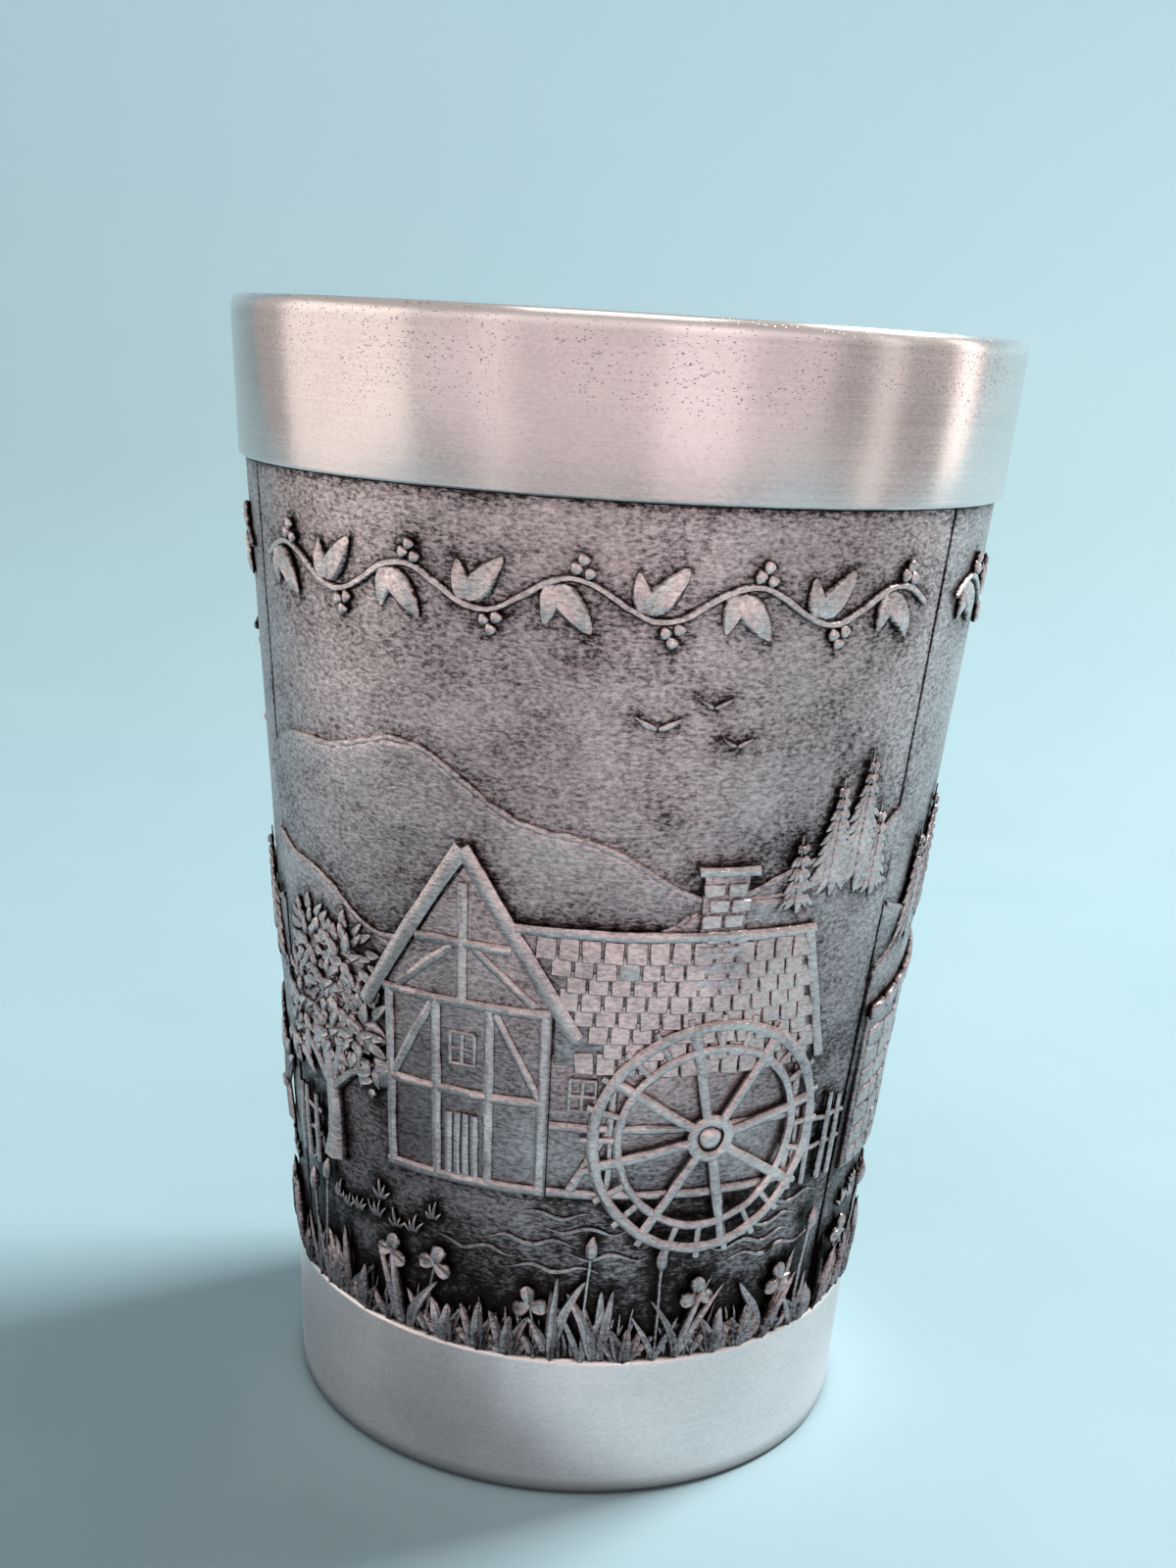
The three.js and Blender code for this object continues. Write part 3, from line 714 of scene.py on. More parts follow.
def oak(bm, u, v, size, seed, hidden_from=0.0):
    """An oak of a given height: a trunk, four branches and clumps of leaves, bare where a wall hides it."""
    dice = random.Random(seed)
    trunk = [Vector((u + 0.3 * math.sin(step * 0.9), v + size * 0.11 * step, 0.25)) for step in range(6)]
    rod(bm, trunk, [size * w for w in (0.075, 0.055, 0.05, 0.045, 0.04, 0.03)], 8)
    fork = trunk[3]
    for reach_u, reach_v in oak_branches:
        elbow = fork + Vector((reach_u * size * 0.5, reach_v * size * 0.6, 0.05))
        end = fork + Vector((reach_u * size, reach_v * size, 0.05))
        rod(bm, [fork, elbow, end], [size * 0.035, size * 0.026, size * 0.012], 6)
    for clump_u, clump_v, clump_radius in oak_clumps:
        middle = Vector((u + clump_u * size, v + clump_v * size))
        body = Vector((clump_radius * size * 0.62, 0))
        leaf(bm, middle - body, middle + body, body.x * 2, 0.16, 0.24, 0.0)
        for ring, count in clump_rings:
            for step in range(count):
                angle = math.tau * (step + dice.uniform(-0.3, 0.3) + ring) / count
                way = Vector((math.cos(angle), math.sin(angle)))
                base = middle + way * clump_radius * size * ring * 0.75
                if base.x > hidden_from or base.x < 1.2 - half_width:
                    continue
                length = size * 0.085 * dice.uniform(0.85, 1.2)
                lean_u = math.cos(angle + dice.uniform(-0.5, 0.5))
                lean_v = math.sin(angle + dice.uniform(-0.5, 0.5))
                tip = base + Vector((lean_u, lean_v)) * length
                lift = 0.34 + 0.42 * (1 - ring) + dice.uniform(-0.05, 0.05)
                leaf(bm, base, tip, length * 0.62, lift, 0.26, 0.5)


def fir(bm, u, v, height, seed):
    """A fir of a given height: a thin stem with tiers of five drooping branches."""
    dice = random.Random(seed)
    rod(bm, [Vector((u, v, 0.15)), Vector((u, v + height, 0.2))], [0.2, 0.08], 6)
    tiers = max(5, int(height / 0.95))
    for tier in range(tiers):
        share = tier / tiers
        tier_v = v + height * (0.16 + 0.8 * share)
        spread = height * 0.27 * (1 - share) + 0.25
        for way in (-1, -0.55, 0.0, 0.55, 1):
            droop = spread * (0.35 + 0.35 * (1 - abs(way))) * dice.uniform(0.85, 1.15)
            tip = (u + way * spread * dice.uniform(0.85, 1.1), tier_v - droop)
            lift = 0.3 + 0.16 * (1 - abs(way))
            leaf(bm, (u + way * 0.1, tier_v + 0.35), tip, 0.5 + spread * 0.2, lift, 0.22, 0.3, 0.12 * way)


def fir_row(bm, side, sink, places):
    """Firs on the nearer hill of a plate, each with its place, height and seed."""
    for u, height, seed in places:
        fir(bm, u, ridges[side][1](u) - sink, height, seed)


trees = bmesh.new()
oak(trees, -20.4, 12.5, 17.5, 3, -14.6)
press("oak", "front", trees)
firs = bmesh.new()
fir_row(firs, "front", 1.2, [(20.6, 8.6, 1), (23.2, 10.4, 2), (25.2, 6.8, 3), (17.6, 5.6, 5)])
press("firs", "front", firs)

# Fences: split posts and two rough rails, along the yard and the field. They are thin raised lines of the
# casting, with the posts a little higher than the rails.
rail_steps = 12


def fence(bm, start, end, base, height, posts, seed):
    """A length of fence with its foot at one height, and its posts leaning a little."""
    dice = random.Random(seed)
    for rail in (0.42, 0.78):
        rail_v = base + height * rail
        path = []
        for step in range(rail_steps + 1):
            wave = 0.12 * math.sin(step * 1.3 + rail * 9)
            path.append(Vector((start + (end - start) * step / rail_steps, rail_v + wave, 0.3)))
        rod(bm, path, [0.26, 0.3, 0.24], 8)
    for post in range(posts):
        u = start + (end - start) * (post + 0.5) / posts + dice.uniform(-0.2, 0.2)
        lean = dice.uniform(-0.18, 0.18)
        rod(bm, [Vector((u, base - 0.3, 0.36)), Vector((u + lean / 2, base + height / 2, 0.4)),
                 Vector((u + lean, base + height * dice.uniform(0.98, 1.12), 0.36))], [0.36, 0.34, 0.28], 8)


yard = bmesh.new()
fence(yard, 20.6, 27.4, 13.6, 6.4, 4, 4)
fence(yard, -27.4, -22.6, 11.0, 5.4, 3, 6)
press("fence", "front", yard)


# Stream: raised ripples on the water that runs from the wheel to the foot of the plate. They are the lowest
# relief of the casting, so they stay dark.
def ripples(name, side, rows):
    """Wavy lines of water that thin out to both ends, each from one u to another at a height v."""
    water = bmesh.new()
    for start, end, v in rows:
        steps = max(6, int((end - start) * 2))
        path = []
        widths = []
        for step in range(steps + 1):
            wave = 0.28 * math.sin(1.5 * (end - start) * step / steps + v * 3)
            path.append(Vector((start + (end - start) * step / steps, v + wave, 0.05)))
            widths.append(0.22 * math.sin(math.pi * (step + 0.3) / (steps + 0.6)) + 0.03)
        rod(water, path, widths, 6)
    press(name, side, water, rub=0.08, shades_ground=False)


ripples("stream", "front", [(-2, 4, 12.4), (0, 7, 11.2), (18, 26, 12.0), (17, 24, 10.6), (-5, 3, 10.0),
                            (2, 9, 9.0), (14, 23, 9.2), (-9, -2, 8.8), (-3, 5, 7.8), (16, 26, 8.0)])


# Bank plants: clumps of reed blades, trefoils, cattails and broad dock leaves along the foot of every
# plate. They stand up highest of the whole casting.
def reed_clump(bm, u, dice):
    """Three to five curved blades from one root. Like each plant here, it returns the room that it takes."""
    for blade in range(dice.randint(3, 5)):
        base = Vector((u + dice.uniform(-0.6, 0.6), dice.uniform(-0.2, 0.4)))
        sway = dice.uniform(-1.0, 1.0)
        tip = base + Vector((sway * 1.5, dice.uniform(3.4, 7.6)))
        leaf(bm, base, tip, dice.uniform(1.0, 1.5), dice.uniform(0.3, 0.6), 0.48, 0.6, 0.42 * sway)
    return dice.uniform(1.7, 2.4)


def trefoil(bm, u, dice):
    """A bent stem with three round leaflets on top and two leaves at its foot."""
    lean = dice.uniform(-1.2, 1.2)
    top = dice.uniform(4.2, 6.8)
    stem = [Vector((u + lean * (s / 6) ** 2, top * s / 6, 0.4)) for s in range(7)]
    rod(bm, stem, [0.19, 0.18, 0.16, 0.14], 6)
    for leaflet in (-1, 0, 1):
        angle = 1.9 * leaflet + lean * 0.3
        way = Vector((math.sin(angle), math.cos(angle)))
        leaf(bm, stem[-1].xy + way * 1.6, stem[-1].xy - way * 0.15, 1.6, 0.46, 0.42, 0.7)
    for way in (-1, 1):
        tip = (u + way * dice.uniform(0.6, 1.1), dice.uniform(2.4, 4.0))
        leaf(bm, (u, 0.2), tip, 1.15, 0.42, 0.42, 0.7, 0.3 * way)
    return dice.uniform(1.5, 2.1)


def cattail(bm, u, dice):
    """A tall stem with a thick long head, and two narrow blades."""
    lean = dice.uniform(-0.9, 0.9)
    top = dice.uniform(6.6, 10.0)
    stem = [Vector((u + lean * (s / 8) ** 2, top * s / 8, 0.5)) for s in range(9)]
    rod(bm, stem, [0.2, 0.19, 0.18, 0.17, 0.16], 6)
    head = Vector((u + lean, top, 0.55))
    rod(bm, [head + Vector((lean * 0.1 * s, 0.42 * s, 0)) for s in range(6)],
        [0.16, 0.44, 0.5, 0.48, 0.3, 0.06], 8)
    for way in (-1, 1):
        tip = (u + way * dice.uniform(0.7, 1.8), dice.uniform(3.5, 5.6))
        leaf(bm, (u, 0), tip, 0.8, 0.5, 0.3, 0.35, 0.12 * way)
    return dice.uniform(1.2, 1.8)


def dock(bm, u, dice):
    """A rosette of five broad leaves."""
    for way in (-1.4, 1.5, -0.7, 0.8, 0.1):
        length = dice.uniform(2.8, 4.6) * (1 - 0.2 * abs(way))
        leaf(bm, (u + way * 0.2, -0.1), (u + way * 0.9, length), dice.uniform(1.3, 1.8),
             0.36 + 0.18 * (1.5 - abs(way)), 0.5, 0.8, 0.34 * way)
    return dice.uniform(2.2, 3.0)


bank_kinds = ((0.4, reed_clump), (0.58, trefoil), (0.70, cattail), (1.0, dock))


def bank_plants(bm, start, end, seed):
    """Thin grass along the whole stretch, then larger plants of mixed kinds in front of it."""
    dice = random.Random(seed)
    u = start
    while u < end:
        base = Vector((u, dice.uniform(-0.2, 0.3)))
        tip = base + Vector((dice.uniform(-0.6, 0.6), dice.uniform(1.6, 4.4)))
        leaf(bm, base, tip, dice.uniform(0.4, 0.6), 0.14, 0.26, 0.3, dice.uniform(-0.25, 0.25))
        u += dice.uniform(0.4, 0.7)
    u = start
    while u < end:
        kind = dice.random()
        plant = next(plant for share, plant in bank_kinds if kind < share)
        u += plant(bm, u, dice)


def tufts(bm, start, end, low, high, count, seed):
    """Small tufts of grass, scattered over the bank behind the taller plants."""
    dice = random.Random(seed)
    for tuft in range(count):
        u = start + (end - start) * (tuft + dice.uniform(0.1, 0.9)) / count
        v = dice.uniform(low, high)
        for blade in range(4):
            way = (blade - 1.5) / 1.5
            tip = (u + way * dice.uniform(0.5, 1.0), v + dice.uniform(1.0, 2.0) * (1 - 0.3 * abs(way)))
            leaf(bm, (u + way * 0.25, v), tip, 0.42, 0.2, 0.24, 0.3, 0.2 * way)


bank_margin = 0.6
tuft_pitch = 1.6
bank_rub = 0.13
bank_stretches = {
    "front": [(-26, -9, 8, 12)],
    "right": [(-26, -13, 8, 11), (13, 26, 8, 11)],
    "left": [(-26, 26, 7, 10.5)],
}
for index, side in enumerate(plate_sides):
    bank = bmesh.new()
    bank_plants(bank, bank_margin - half_width, half_width - bank_margin, 21 + index)
    for start, end, low, high in bank_stretches[side]:
        tufts(bank, start, end, low, high, round((end - start) / tuft_pitch), 61 + index)
    press("bank_plants", side, bank, rub=bank_rub)


# Birds: small gliding birds in the open sky, each two curved wing strokes of low relief, cast with the
# plate's ground.
def flock(side, places):
    """Birds over a plate: a pair of wings at each place, with the length of one wing."""
    sky = bmesh.new()
    for u, v, span in places:
        for way in (-1, 1):
            leaf(sky, (u, v), (u + way * span, v + span * 0.28), span * 0.34, 0.14, 0.26, 0.0, -0.24 * way)
    press("birds", side, sky)


flock("front", [(6.0, 50.5, 1.8), (9.6, 52.2, 1.3), (11.4, 49.4, 1.2)])

# Bridge on the right plate: a humped stone bridge of one round arch, with wedge stones about the arch,
# coursed stones beside it and a row of capping stones, over a brook. Firs stand on the hill behind it.
arch_radius = 10.0
arch_base = 12.5
arch_steps = 24
wedge_count = 19
bridge_half = 27.0
bridge_hump = 52
course_height = 1.75
cap_pitch = 2.45


def bridge_top(u):
    """Height of the bridge's humped top edge."""
    return 26.0 + 3.2 * math.cos(math.pi * u / bridge_hump)


dice = random.Random(31)
bridge = bmesh.new()
arch_line = []
top_line = []
for step in range(arch_steps + 1):
    angle = math.pi * step / arch_steps
    arch_line.append((-arch_radius * math.cos(angle), arch_base + arch_radius * math.sin(angle)))
    u = bridge_half - 2 * bridge_half * step / arch_steps
    top_line.append((u, bridge_top(u)))
slab(bridge, [(-bridge_half, arch_base)] + arch_line + [(bridge_half, arch_base)] + top_line, 0.4)
press("bridge_wall", "right", bridge, rub=0.02)
stones = bmesh.new()
wedge_reach = arch_radius + 1.1
for wedge in range(wedge_count):
    angle = math.pi * (wedge + 0.5) / wedge_count
    place = (-wedge_reach * math.cos(angle), arch_base + wedge_reach * math.sin(angle))
    tile(stones, place, (1.62, 2.1, 0.5), 0.45, 0, math.pi / 2 - angle)
for course in range(8):
    course_v = arch_base + 0.9 + course * course_height
    u = -26.6
    while u < 25.5:
        length = dice.uniform(2.0, 3.4)
        middle = u + length / 2
        clear = Vector((middle, course_v - arch_base)).length > arch_radius + 3.0
        if clear and u + length < 27.3 and course_v < bridge_top(middle) - 1.3:
            lift = 0.36 + dice.uniform(-0.04, 0.04)
            tile(stones, (middle, course_v), (length - 0.3, 1.45, 0.36), lift, 0, dice.uniform(-0.03, 0.03))
        u += length
for cap in range(22):
    u = -26.0 + cap * cap_pitch
    slope = -0.19 * math.sin(math.pi * u / bridge_hump)
    if u < bridge_half:
        tile(stones, (u, bridge_top(u) + 0.35), (2.25, 1.3, 0.6), 0.52, 0, slope)
press("bridge_stones", "right", stones, rub=0.14)
ripples("brook", "right", [(-8, 1, 13.5), (-2, 7, 12.4), (-9, -1, 11.4), (0, 9, 10.6), (-12, -4, 9.6),
                           (-5, 4, 9.0), (3, 12, 9.2), (-1, 6, 15.0)])
woods = bmesh.new()
fir_row(woods, "right", 1.0, [(-22.5, 9.0, 11), (-19.4, 11.0, 12), (-16.0, 8.0, 13), (15.5, 9.5, 14),
                              (18.8, 12.0, 15), (22.4, 8.6, 16)])
press("firs", "right", woods)
flock("right", [(-6.0, 50.0, 1.9), (-2.2, 52.0, 1.4), (14.0, 50.6, 1.5)])

# Windmill on the left plate: a boarded tower with a round cap and four lattice sails on a hub. Sheaves of
# wheat stand in the field beside it, with a fence, an oak and two firs, all of the same casting.
tower_base, tower_top = 12.5, 35.0
tower_foot_half, tower_neck_half = 6.2, 3.6
sail_start, sail_end = 3.4, 16.8
rung_pitch = 1.34
cap_steps = 12


def tower_half(v):
    """Half-width of the tower at a height."""
    return tower_foot_half - 2.6 * (v - tower_base) / (tower_top - tower_base)


tower = bmesh.new()
slab(tower, [(-tower_foot_half, tower_base), (tower_foot_half, tower_base),
             (tower_neck_half, tower_top), (-tower_neck_half, tower_top)], 0.5)
cap_angles = [math.pi * step / cap_steps for step in range(cap_steps + 1)]
cap_line = [(4.1 * math.cos(angle), tower_top - 0.2 + 4.4 * math.sin(angle)) for angle in cap_angles]
slab(tower, cap_line, 0.58, 0.3)
press("windmill_tower", "left", tower, rub=0.04)
boards = bmesh.new()
for board in range(15):
    v = tower_base + 0.7 + board * 1.5
    bar(boards, (-tower_half(v), v), (tower_half(v), v), 0.4, 0.5)
for way in (-1, 1):
    bar(boards, (way * 6.1, tower_base), (way * tower_neck_half, tower_top), 0.6, 0.54)
bar(boards, (-4.4, tower_top), (4.4, tower_top), 0.8, 0.6)
for plank in range(4):
    u = -1.2 + plank * 0.8
    bar(boards, (u, tower_base + 0.3), (u, tower_base + 5.6), 0.72, 0.56)
for window_v in (22.5, 28.0):
    for start, end in window_bars(0, window_v, 0.9, 1.2, 1.0):
        bar(boards, start, end, 0.3, 0.62)
press("windmill_boards", "left", boards)
sails = bmesh.new()
hub = Vector((0, tower_top + 0.6))
for arm in range(4):
    angle = math.radians(28 + 90 * arm)
    way = Vector((math.cos(angle), math.sin(angle)))
    aside = Vector((-math.sin(angle), math.cos(angle)))
    bar(sails, hub, hub + way * 17.0, 0.62, 0.86)
    for reach, width, lift in ((3.0, 0.4, 0.8), (1.5, 0.32, 0.78)):
        bar(sails, hub + way * sail_start + aside * reach, hub + way * sail_end + aside * reach, width, lift)
    for rung in range(11):
        start = hub + way * (sail_start + rung * rung_pitch)
        bar(sails, start, start + aside * 3.1, 0.34, 0.78)
boss(sails, hub, 1.2, 0.82)
press("windmill_sails", "left", sails)
harvest = bmesh.new()
sheaves = ((12.5, 11.5, 7.0), (18.0, 13.5, 6.2), (23.4, 11.0, 7.2), (-13.0, 11.5, 6.6))
for sheaf, (sheaf_u, sheaf_v, sheaf_size) in enumerate(sheaves):
    waist_v = sheaf_v + sheaf_size * 0.45
    dice = random.Random(50 + sheaf)
    for straw in range(15):
        fan = (straw - 7) / 7
        foot = Vector((sheaf_u + 1.5 * fan, sheaf_v))
        waist = Vector((sheaf_u + 0.5 * fan, waist_v))
        straw_height = sheaf_size * dice.uniform(0.85, 1.0) * (1 - 0.16 * fan * fan)
        head = Vector((sheaf_u + 2.5 * fan, sheaf_v + straw_height))
        rise = 0.55 - 0.25 * abs(fan)
        straw_line = [Vector((*foot, rise)), Vector((*waist, rise + 0.1)), Vector((*head, rise))]
        rod(harvest, straw_line, [0.2, 0.16, 0.14], 6)
        leaf(harvest, head - (head - waist) * 0.12, head + (head - waist) * 0.5, 0.85, rise, 0.3, 0.3)
    bar(harvest, (sheaf_u - 0.8, waist_v), (sheaf_u + 0.8, waist_v), 0.6, 0.75)
fence(harvest, -27.2, -16.0, 11.5, 5.6, 6, 8)
press("harvest", "left", harvest)
grove = bmesh.new()
oak(grove, -20.2, 17.0, 12.5, 8)
fir_row(grove, "left", 1.0, [(22.0, 8.4, 17), (25.0, 6.6, 18)])
press("grove", "left", grove)
flock("left", [(17.0, 50.0, 1.8), (20.4, 52.0, 1.3), (-18.0, 49.4, 1.6)])

# Plate grounds: the face of each casting behind its raised forms, slightly uneven, and blackest close to
# whatever stands up from it and along its edges, where rubbing can't reach. Along the edges and under the rim
# band that dark is partly painted shade. Painted shade also darkens the ground more and more towards the
# bottom of the plate, and the ground is darker still close to its foot. Above each ridge the ground is
# painted darker and just below it paler, as shade and highlight on the hill's step.
plate_columns = 184
plate_rows = 216
hollow_most = 0.36
hollow_reach = 0.5
# Darkening beyond the patina near raised forms: along the edges and under the rim band, partly patina and
# partly painted shade; towards the bottom of the plate, painted shade; close to the foot, darker still.
edge_shade_and_patina, edge_reach = 0.14, 0.2
low_painted_shade, low_reach = 0.16, 50
bank_dark, bank_reach = 0.2, 5
rim_shade_and_patina, rim_reach = 0.25, 0.6
# Just above each ridge the ground is painted darker, painted shade with some patina; just below it the ground
# is painted paler, a painted highlight with some rubbing.
crest_shade_and_patina, crest_reach = 0.2, 0.9
slope_light, slope_reach = 0.1, 2.5
for side in plate_sides:
    tree = kdtree.KDTree(len(raised_points[side]))
    for index, (u, v) in enumerate(raised_points[side]):
        tree.insert((u, v, 0), index)
    tree.balance()
    ground = bmesh.new()
    patina_and_shade = ground.verts.layers.float.new("patina_and_shade")
    bmesh.ops.create_grid(ground, x_segments=plate_columns, y_segments=plate_rows, size=0.5)
    for vert in ground.verts:
        u = vert.co.x * plate_width / mm
        v = (vert.co.y + 0.5) * plate_height / mm
        under_rim = plate_height / mm - v
        edge = min(half_width - abs(u), v, under_rim)
        near = tree.find((u, v, 0))[2]
        # Patina near raised forms, with painted shade along the edges, under the rim band and towards the
        # bottom.
        vert[patina_and_shade] = (hollow_most * math.exp(-near / hollow_reach)
                        + edge_shade_and_patina * math.exp(-max(0, edge) / edge_reach)
                        + low_painted_shade * max(0, 1 - v / low_reach)
                        + bank_dark * math.exp(-v / bank_reach)
                        + rim_shade_and_patina * math.exp(-under_rim / rim_reach))
        # Painted shade above the ridge's step, and a painted highlight on the slope below it.
        for ridge in ridges[side]:
            above = v - ridge(u)
            if above > 0:
                vert[patina_and_shade] += crest_shade_and_patina * math.exp(-above / crest_reach)
            else:
                vert[patina_and_shade] -= slope_light * math.exp(above / slope_reach)
        ragged = 0.1 * noise.noise(Vector((v * 1.1, math.copysign(5, u), plate_turn[side])))
        u -= math.copysign(max(0, 0.03 + 0.6 * ragged) * max(0, 1 - (half_width - abs(u)) / 2), u)
        vert.co = bend(u * mm, v * mm, ground_lift(side, u, v) * mm, plate_turn[side])
    back = bmesh.ops.extrude_face_region(ground, geom=ground.faces[:])["geom"]
    for vert in back:
        if isinstance(vert, bmesh.types.BMVert):
            vert.co.xy *= (plate_radius(vert.co.z) - 0.9 * plate_thickness) / vert.co.xy.length
    bmesh.ops.recalc_face_normals(ground, faces=ground.faces)
    finished(f"plate_ground_{side}", ground, dark_pewter, "dark_pewter", f"relief_panel_{side}", crease=80)

# Seam solder: a strip of solder at the bottom of each upright gap between two plates, blackened with them and
# never rubbed, and painted darker still as the shade in the gap. The strips keep the shape that the source
# gives them.
seam_pewter = antique_pewter("seam_dark_pewter", 0.2)
for side in ("front_right", "back", "front_left"):
    seam_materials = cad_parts[f"seam_solder_{side}"].data.materials
    seam_materials.clear()
    seam_materials.append(seam_pewter)

# Rim band: a turned pewter ring shrunk and soldered over the wall's upper end and the plates' top edges.
# Its rounded lip covers the wall, above a fine groove cut with the tip of the tool.
# The lip is painted paler: partly polish, partly a painted highlight.
rim_pewter = satin_pewter("rim_satin_pewter", (0.80, 0.725, 0.705, 1), (0.62, 0.56, 0.55, 1),
                          pit_amount=0.66, pit_heights=(rim_low.z - 1 * mm, rim_high.z - 4 * mm),
                          roughness=(0.20, 0.34), polish_and_highlight_from=rim_high.z - 1 * mm, ring_share=0.26)
lip_height = 1.0 * mm
lip_round = 0.55 * mm
lip_cover = 1.5 * mm
groove_depth = 0.05 * mm
groove_start, groove_middle = 0.45 * mm, 0.2 * mm
band_ease = 0.02 * mm
lip_steps = 6
rim_stand = 0.5 * mm
rim_hold = 1.6 * mm
rim_lap = 0.4 * mm
rim_bottom_radius = plate_radius(rim_low.z) + rim_stand
lip_base = rim_high.z - lip_height


def lip_point(middle, degrees):
    """A point of the lip's round edge, about a radius that is its middle."""
    angle = math.radians(degrees)
    return middle + lip_round * math.cos(angle), lip_base + lip_height * math.sin(angle)


rim_section = [
    (plate_radius(rim_low.z) - rim_lap, rim_low.z),
    (rim_bottom_radius, rim_low.z),
    (rim_high.x - band_ease, lip_base - groove_start),
    (rim_high.x - groove_depth, lip_base - groove_middle),
    (rim_high.x, lip_base),
]
wall_cover = rim_high.z - lip_cover
mouth_radius = wall_outside(wall_cover) - wall_thickness
for step in range(1, lip_steps + 1):
    rim_section.append(lip_point(rim_high.x - lip_round, 90 * step / lip_steps))
for step in range(lip_steps + 1):
    rim_section.append(lip_point(mouth_radius + lip_round, 90 + 90 * step / lip_steps))
tongue_top = rim_low.z + rim_hold
rim_section += [
    (mouth_radius, wall_cover),
    (plate_radius(wall_cover) - plate_thickness, wall_cover),
    (plate_radius(tongue_top) - plate_thickness, tongue_top),
    (plate_radius(tongue_top) - rim_lap, tongue_top),
]
rim = turned(rim_section)
rounded(rim, rim_section[1], 0.3 * mm, 3)
finished("rim_band_turned", rim, rim_pewter, "satin_pewter", "rim_band", crease=25)

# Studio: a pale blue sweep of card under and behind the cup, soft upright lamps round the front, and the
# camera where the photograph was taken from, a little right of the front plate's middle.
sweep_half = 0.2
sweep_widening = 0.34
sweep_front = -0.14
sweep_bend = 0.16
sweep_corner = 0.22
sweep_length = 0.9
sweep_flare = 0.03
sweep_steps = 60
sweep = bmesh.new()
bmesh.ops.create_grid(sweep, x_segments=4, y_segments=sweep_steps, size=0.5)
for vert in sweep.verts:
    length = sweep_front + (vert.co.y + 0.5) * sweep_length
    turned_by = min(math.pi / 2, max(0, length - sweep_bend) / sweep_corner)
    rise = max(0, length - sweep_bend - sweep_corner * math.pi / 2)
    widened = min(1, max(0, length + sweep_flare) / (sweep_bend + sweep_corner))
    half = sweep_half + sweep_widening * widened
    vert.co = (2 * half * vert.co.x, min(length, sweep_bend) + sweep_corner * math.sin(turned_by),
               sweep_corner * (1 - math.cos(turned_by)) + rise)
sweep_mesh = bpy.data.meshes.new("sweep")
sweep.to_mesh(sweep_mesh)
sweep.free()
sweep_mesh.shade_smooth()
sweep_object = bpy.data.objects.new("sweep", sweep_mesh)
bpy.context.scene.collection.objects.link(sweep_object)


def seen_ray(tree):
    """One for what the camera sees, straight or by way of the metal, and nothing for the light on the cup."""
    path = add_node(tree, "ShaderNodeLightPath").outputs
    seen = add_math(tree, "MAXIMUM", path["Is Camera Ray"], path["Is Glossy Ray"])
    return add_math(tree, "MAXIMUM", seen, path["Is Transmission Ray"])


# Painted light on the sweep: further up the back its colour turns paler, and there it also glows for the
# camera and the metal, making the upper backdrop brighter.
floor_blue, floor_light_blue = (0.47, 0.70, 0.78, 1), (0.50, 0.73, 0.81, 1)
far_blue = (0.67, 0.95, 1.0, 1)
glow_blue = (0.53, 0.70, 1.0, 1)
far_start, glow_start, far_end = 0.16, 0.36, 0.56
glow_most = 0.17
floor_paint, floor_tree, floor_shader = new_material("pale_floor")
floor_cloud = add_range(floor_tree, add_noise(floor_tree, (30, 30, 30), 2), 0.3, 0.7)
floor_colour = add_mix(floor_tree, floor_cloud, floor_blue, floor_light_blue)
floor_reach = add_math(floor_tree, "ADD", add_axis(floor_tree, "Y"), add_axis(floor_tree, "Z"))
floor_far = add_range(floor_tree, floor_reach, far_start, far_end)
floor_painted_glow = add_range(floor_tree, floor_reach, glow_start, far_end, 0.0, glow_most)
floor_painted_glow = add_math(floor_tree, "MULTIPLY", floor_painted_glow, seen_ray(floor_tree))
floor_colour = add_mix(floor_tree, floor_far, floor_colour, far_blue)
floor_shader.inputs["Emission Color"].default_value = glow_blue
floor_tree.links.new(floor_painted_glow, floor_shader.inputs["Emission Strength"])
floor_tree.links.new(floor_colour, floor_shader.inputs["Base Color"])
floor_shader.inputs["Roughness"].default_value = 0.9
sweep_mesh.materials.append(floor_paint)

room_tone = (0.94, 0.88, 0.87, 1)
room_light, room_seen = 0.08, 0.5
world = bpy.data.worlds.new("soft_room")
bpy.context.scene.world = world
world.use_nodes = True
room_tree = world.node_tree
room = room_tree.nodes["Background"]
room.inputs["Color"].default_value = room_tone
room_strength = add_range(room_tree, seen_ray(room_tree), 0.0, 1.0, room_light, room_seen)
room_tree.links.new(room_strength, room.inputs["Strength"])


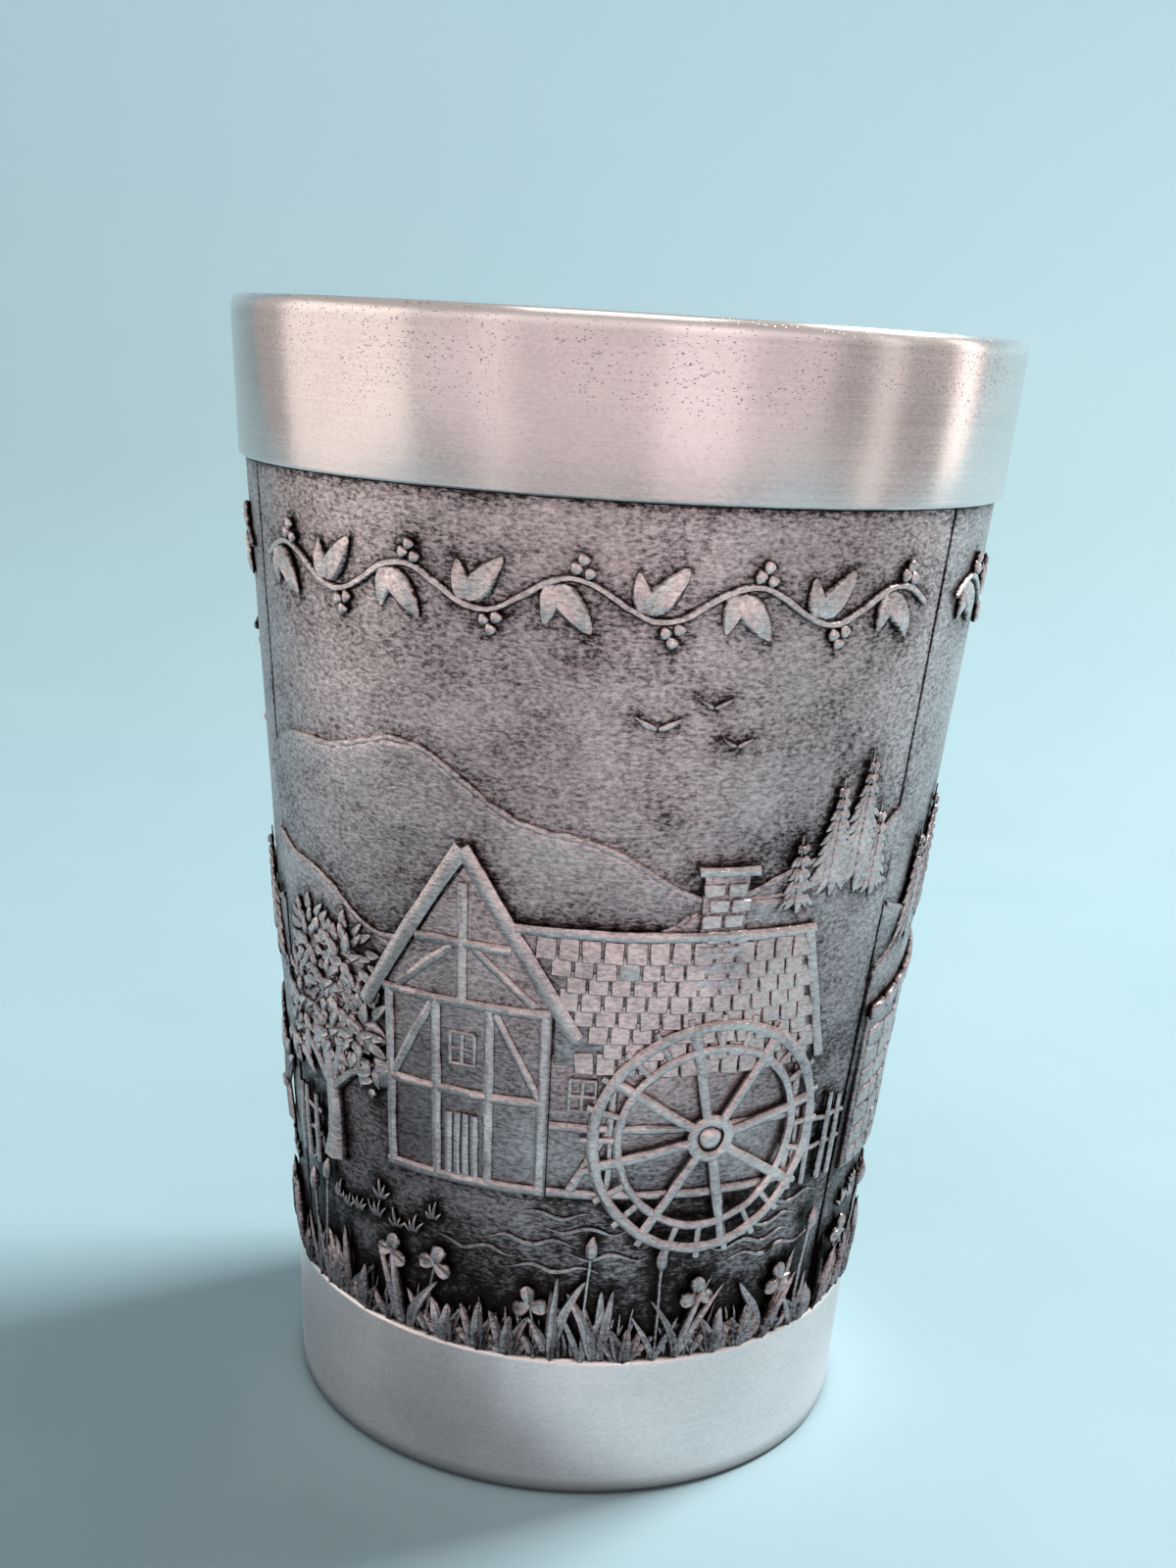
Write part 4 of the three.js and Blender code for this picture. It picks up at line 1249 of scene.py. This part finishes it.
def soft_lamp(name, azimuth, elevation, distance, width, height, power, colour):
    """An area lamp aimed at the middle of the cup. Azimuth 0 is in front and 90 to the right."""
    lamp = bpy.data.lights.new(name, "AREA")
    lamp.shape = "RECTANGLE"
    lamp.size, lamp.size_y = width, height
    lamp.energy = power
    lamp.color = colour
    lamp_object = bpy.data.objects.new(name, lamp)
    bpy.context.scene.collection.objects.link(lamp_object)
    a, e = math.radians(azimuth), math.radians(elevation)
    away = Vector((math.sin(a) * math.cos(e), -math.cos(a) * math.cos(e), math.sin(e)))
    target = Vector((0, 0, rim_high.z / 2))
    place = target + away * distance
    lamp_object.matrix_world = Matrix.Translation(place) @ away.to_track_quat("Z", "Y").to_matrix().to_4x4()


soft_lamp("left_card", -79, 0, 0.5, 0.45, 0.5, 0.525, (1.0, 0.90, 0.84))
soft_lamp("left_strip", -30, 0, 0.5, 0.08, 0.5, 0.03, (1.0, 0.90, 0.86))
soft_lamp("front_card", 26, 0, 0.5, 0.2, 0.5, 0.112, (1.0, 0.84, 0.87))
soft_lamp("right_strip", 80, 0, 0.5, 0.08, 0.5, 0.07, (1.0, 0.92, 0.87))
soft_lamp("right_card", 112, 0, 0.5, 0.09, 0.5, 0.21, (1.0, 0.92, 0.87))
soft_lamp("front_soft", 5, 6, 0.62, 2.0, 0.6, 1.5, (1.0, 0.83, 0.87))
soft_lamp("top_soft", 0, 75, 0.5, 0.3, 0.3, 0.45, (1.0, 0.96, 0.94))
soft_lamp("key_right", 125, 50, 1.0, 0.3, 0.3, 10.0, (1.0, 0.97, 0.95))

camera_turn = math.radians(5.4)
camera_distance = 154.33 * mm
camera_height = 87.98 * mm
camera_yaw = math.radians(-0.39)
camera_pitch = math.radians(13.20)
camera_roll = math.radians(3.51)
focal_pixels = 1921.0
picture_height = 1600
camera = bpy.data.cameras.new("photo_camera")
camera.sensor_width = 36
camera.lens = focal_pixels / picture_height * camera.sensor_width
camera.clip_start = 0.005
camera_object = bpy.data.objects.new("photo_camera", camera)
bpy.context.scene.collection.objects.link(camera_object)
camera_object.matrix_world = (
    Matrix.Rotation(camera_turn, 4, "Z")
    @ Matrix.Translation((0, -camera_distance, camera_height))
    @ Matrix.Rotation(-camera_yaw, 4, "Z")
    @ Matrix.Rotation(math.pi / 2 - camera_pitch, 4, "X")
    @ Matrix.Rotation(camera_roll, 4, "Z")
)
bpy.context.scene.camera = camera_object
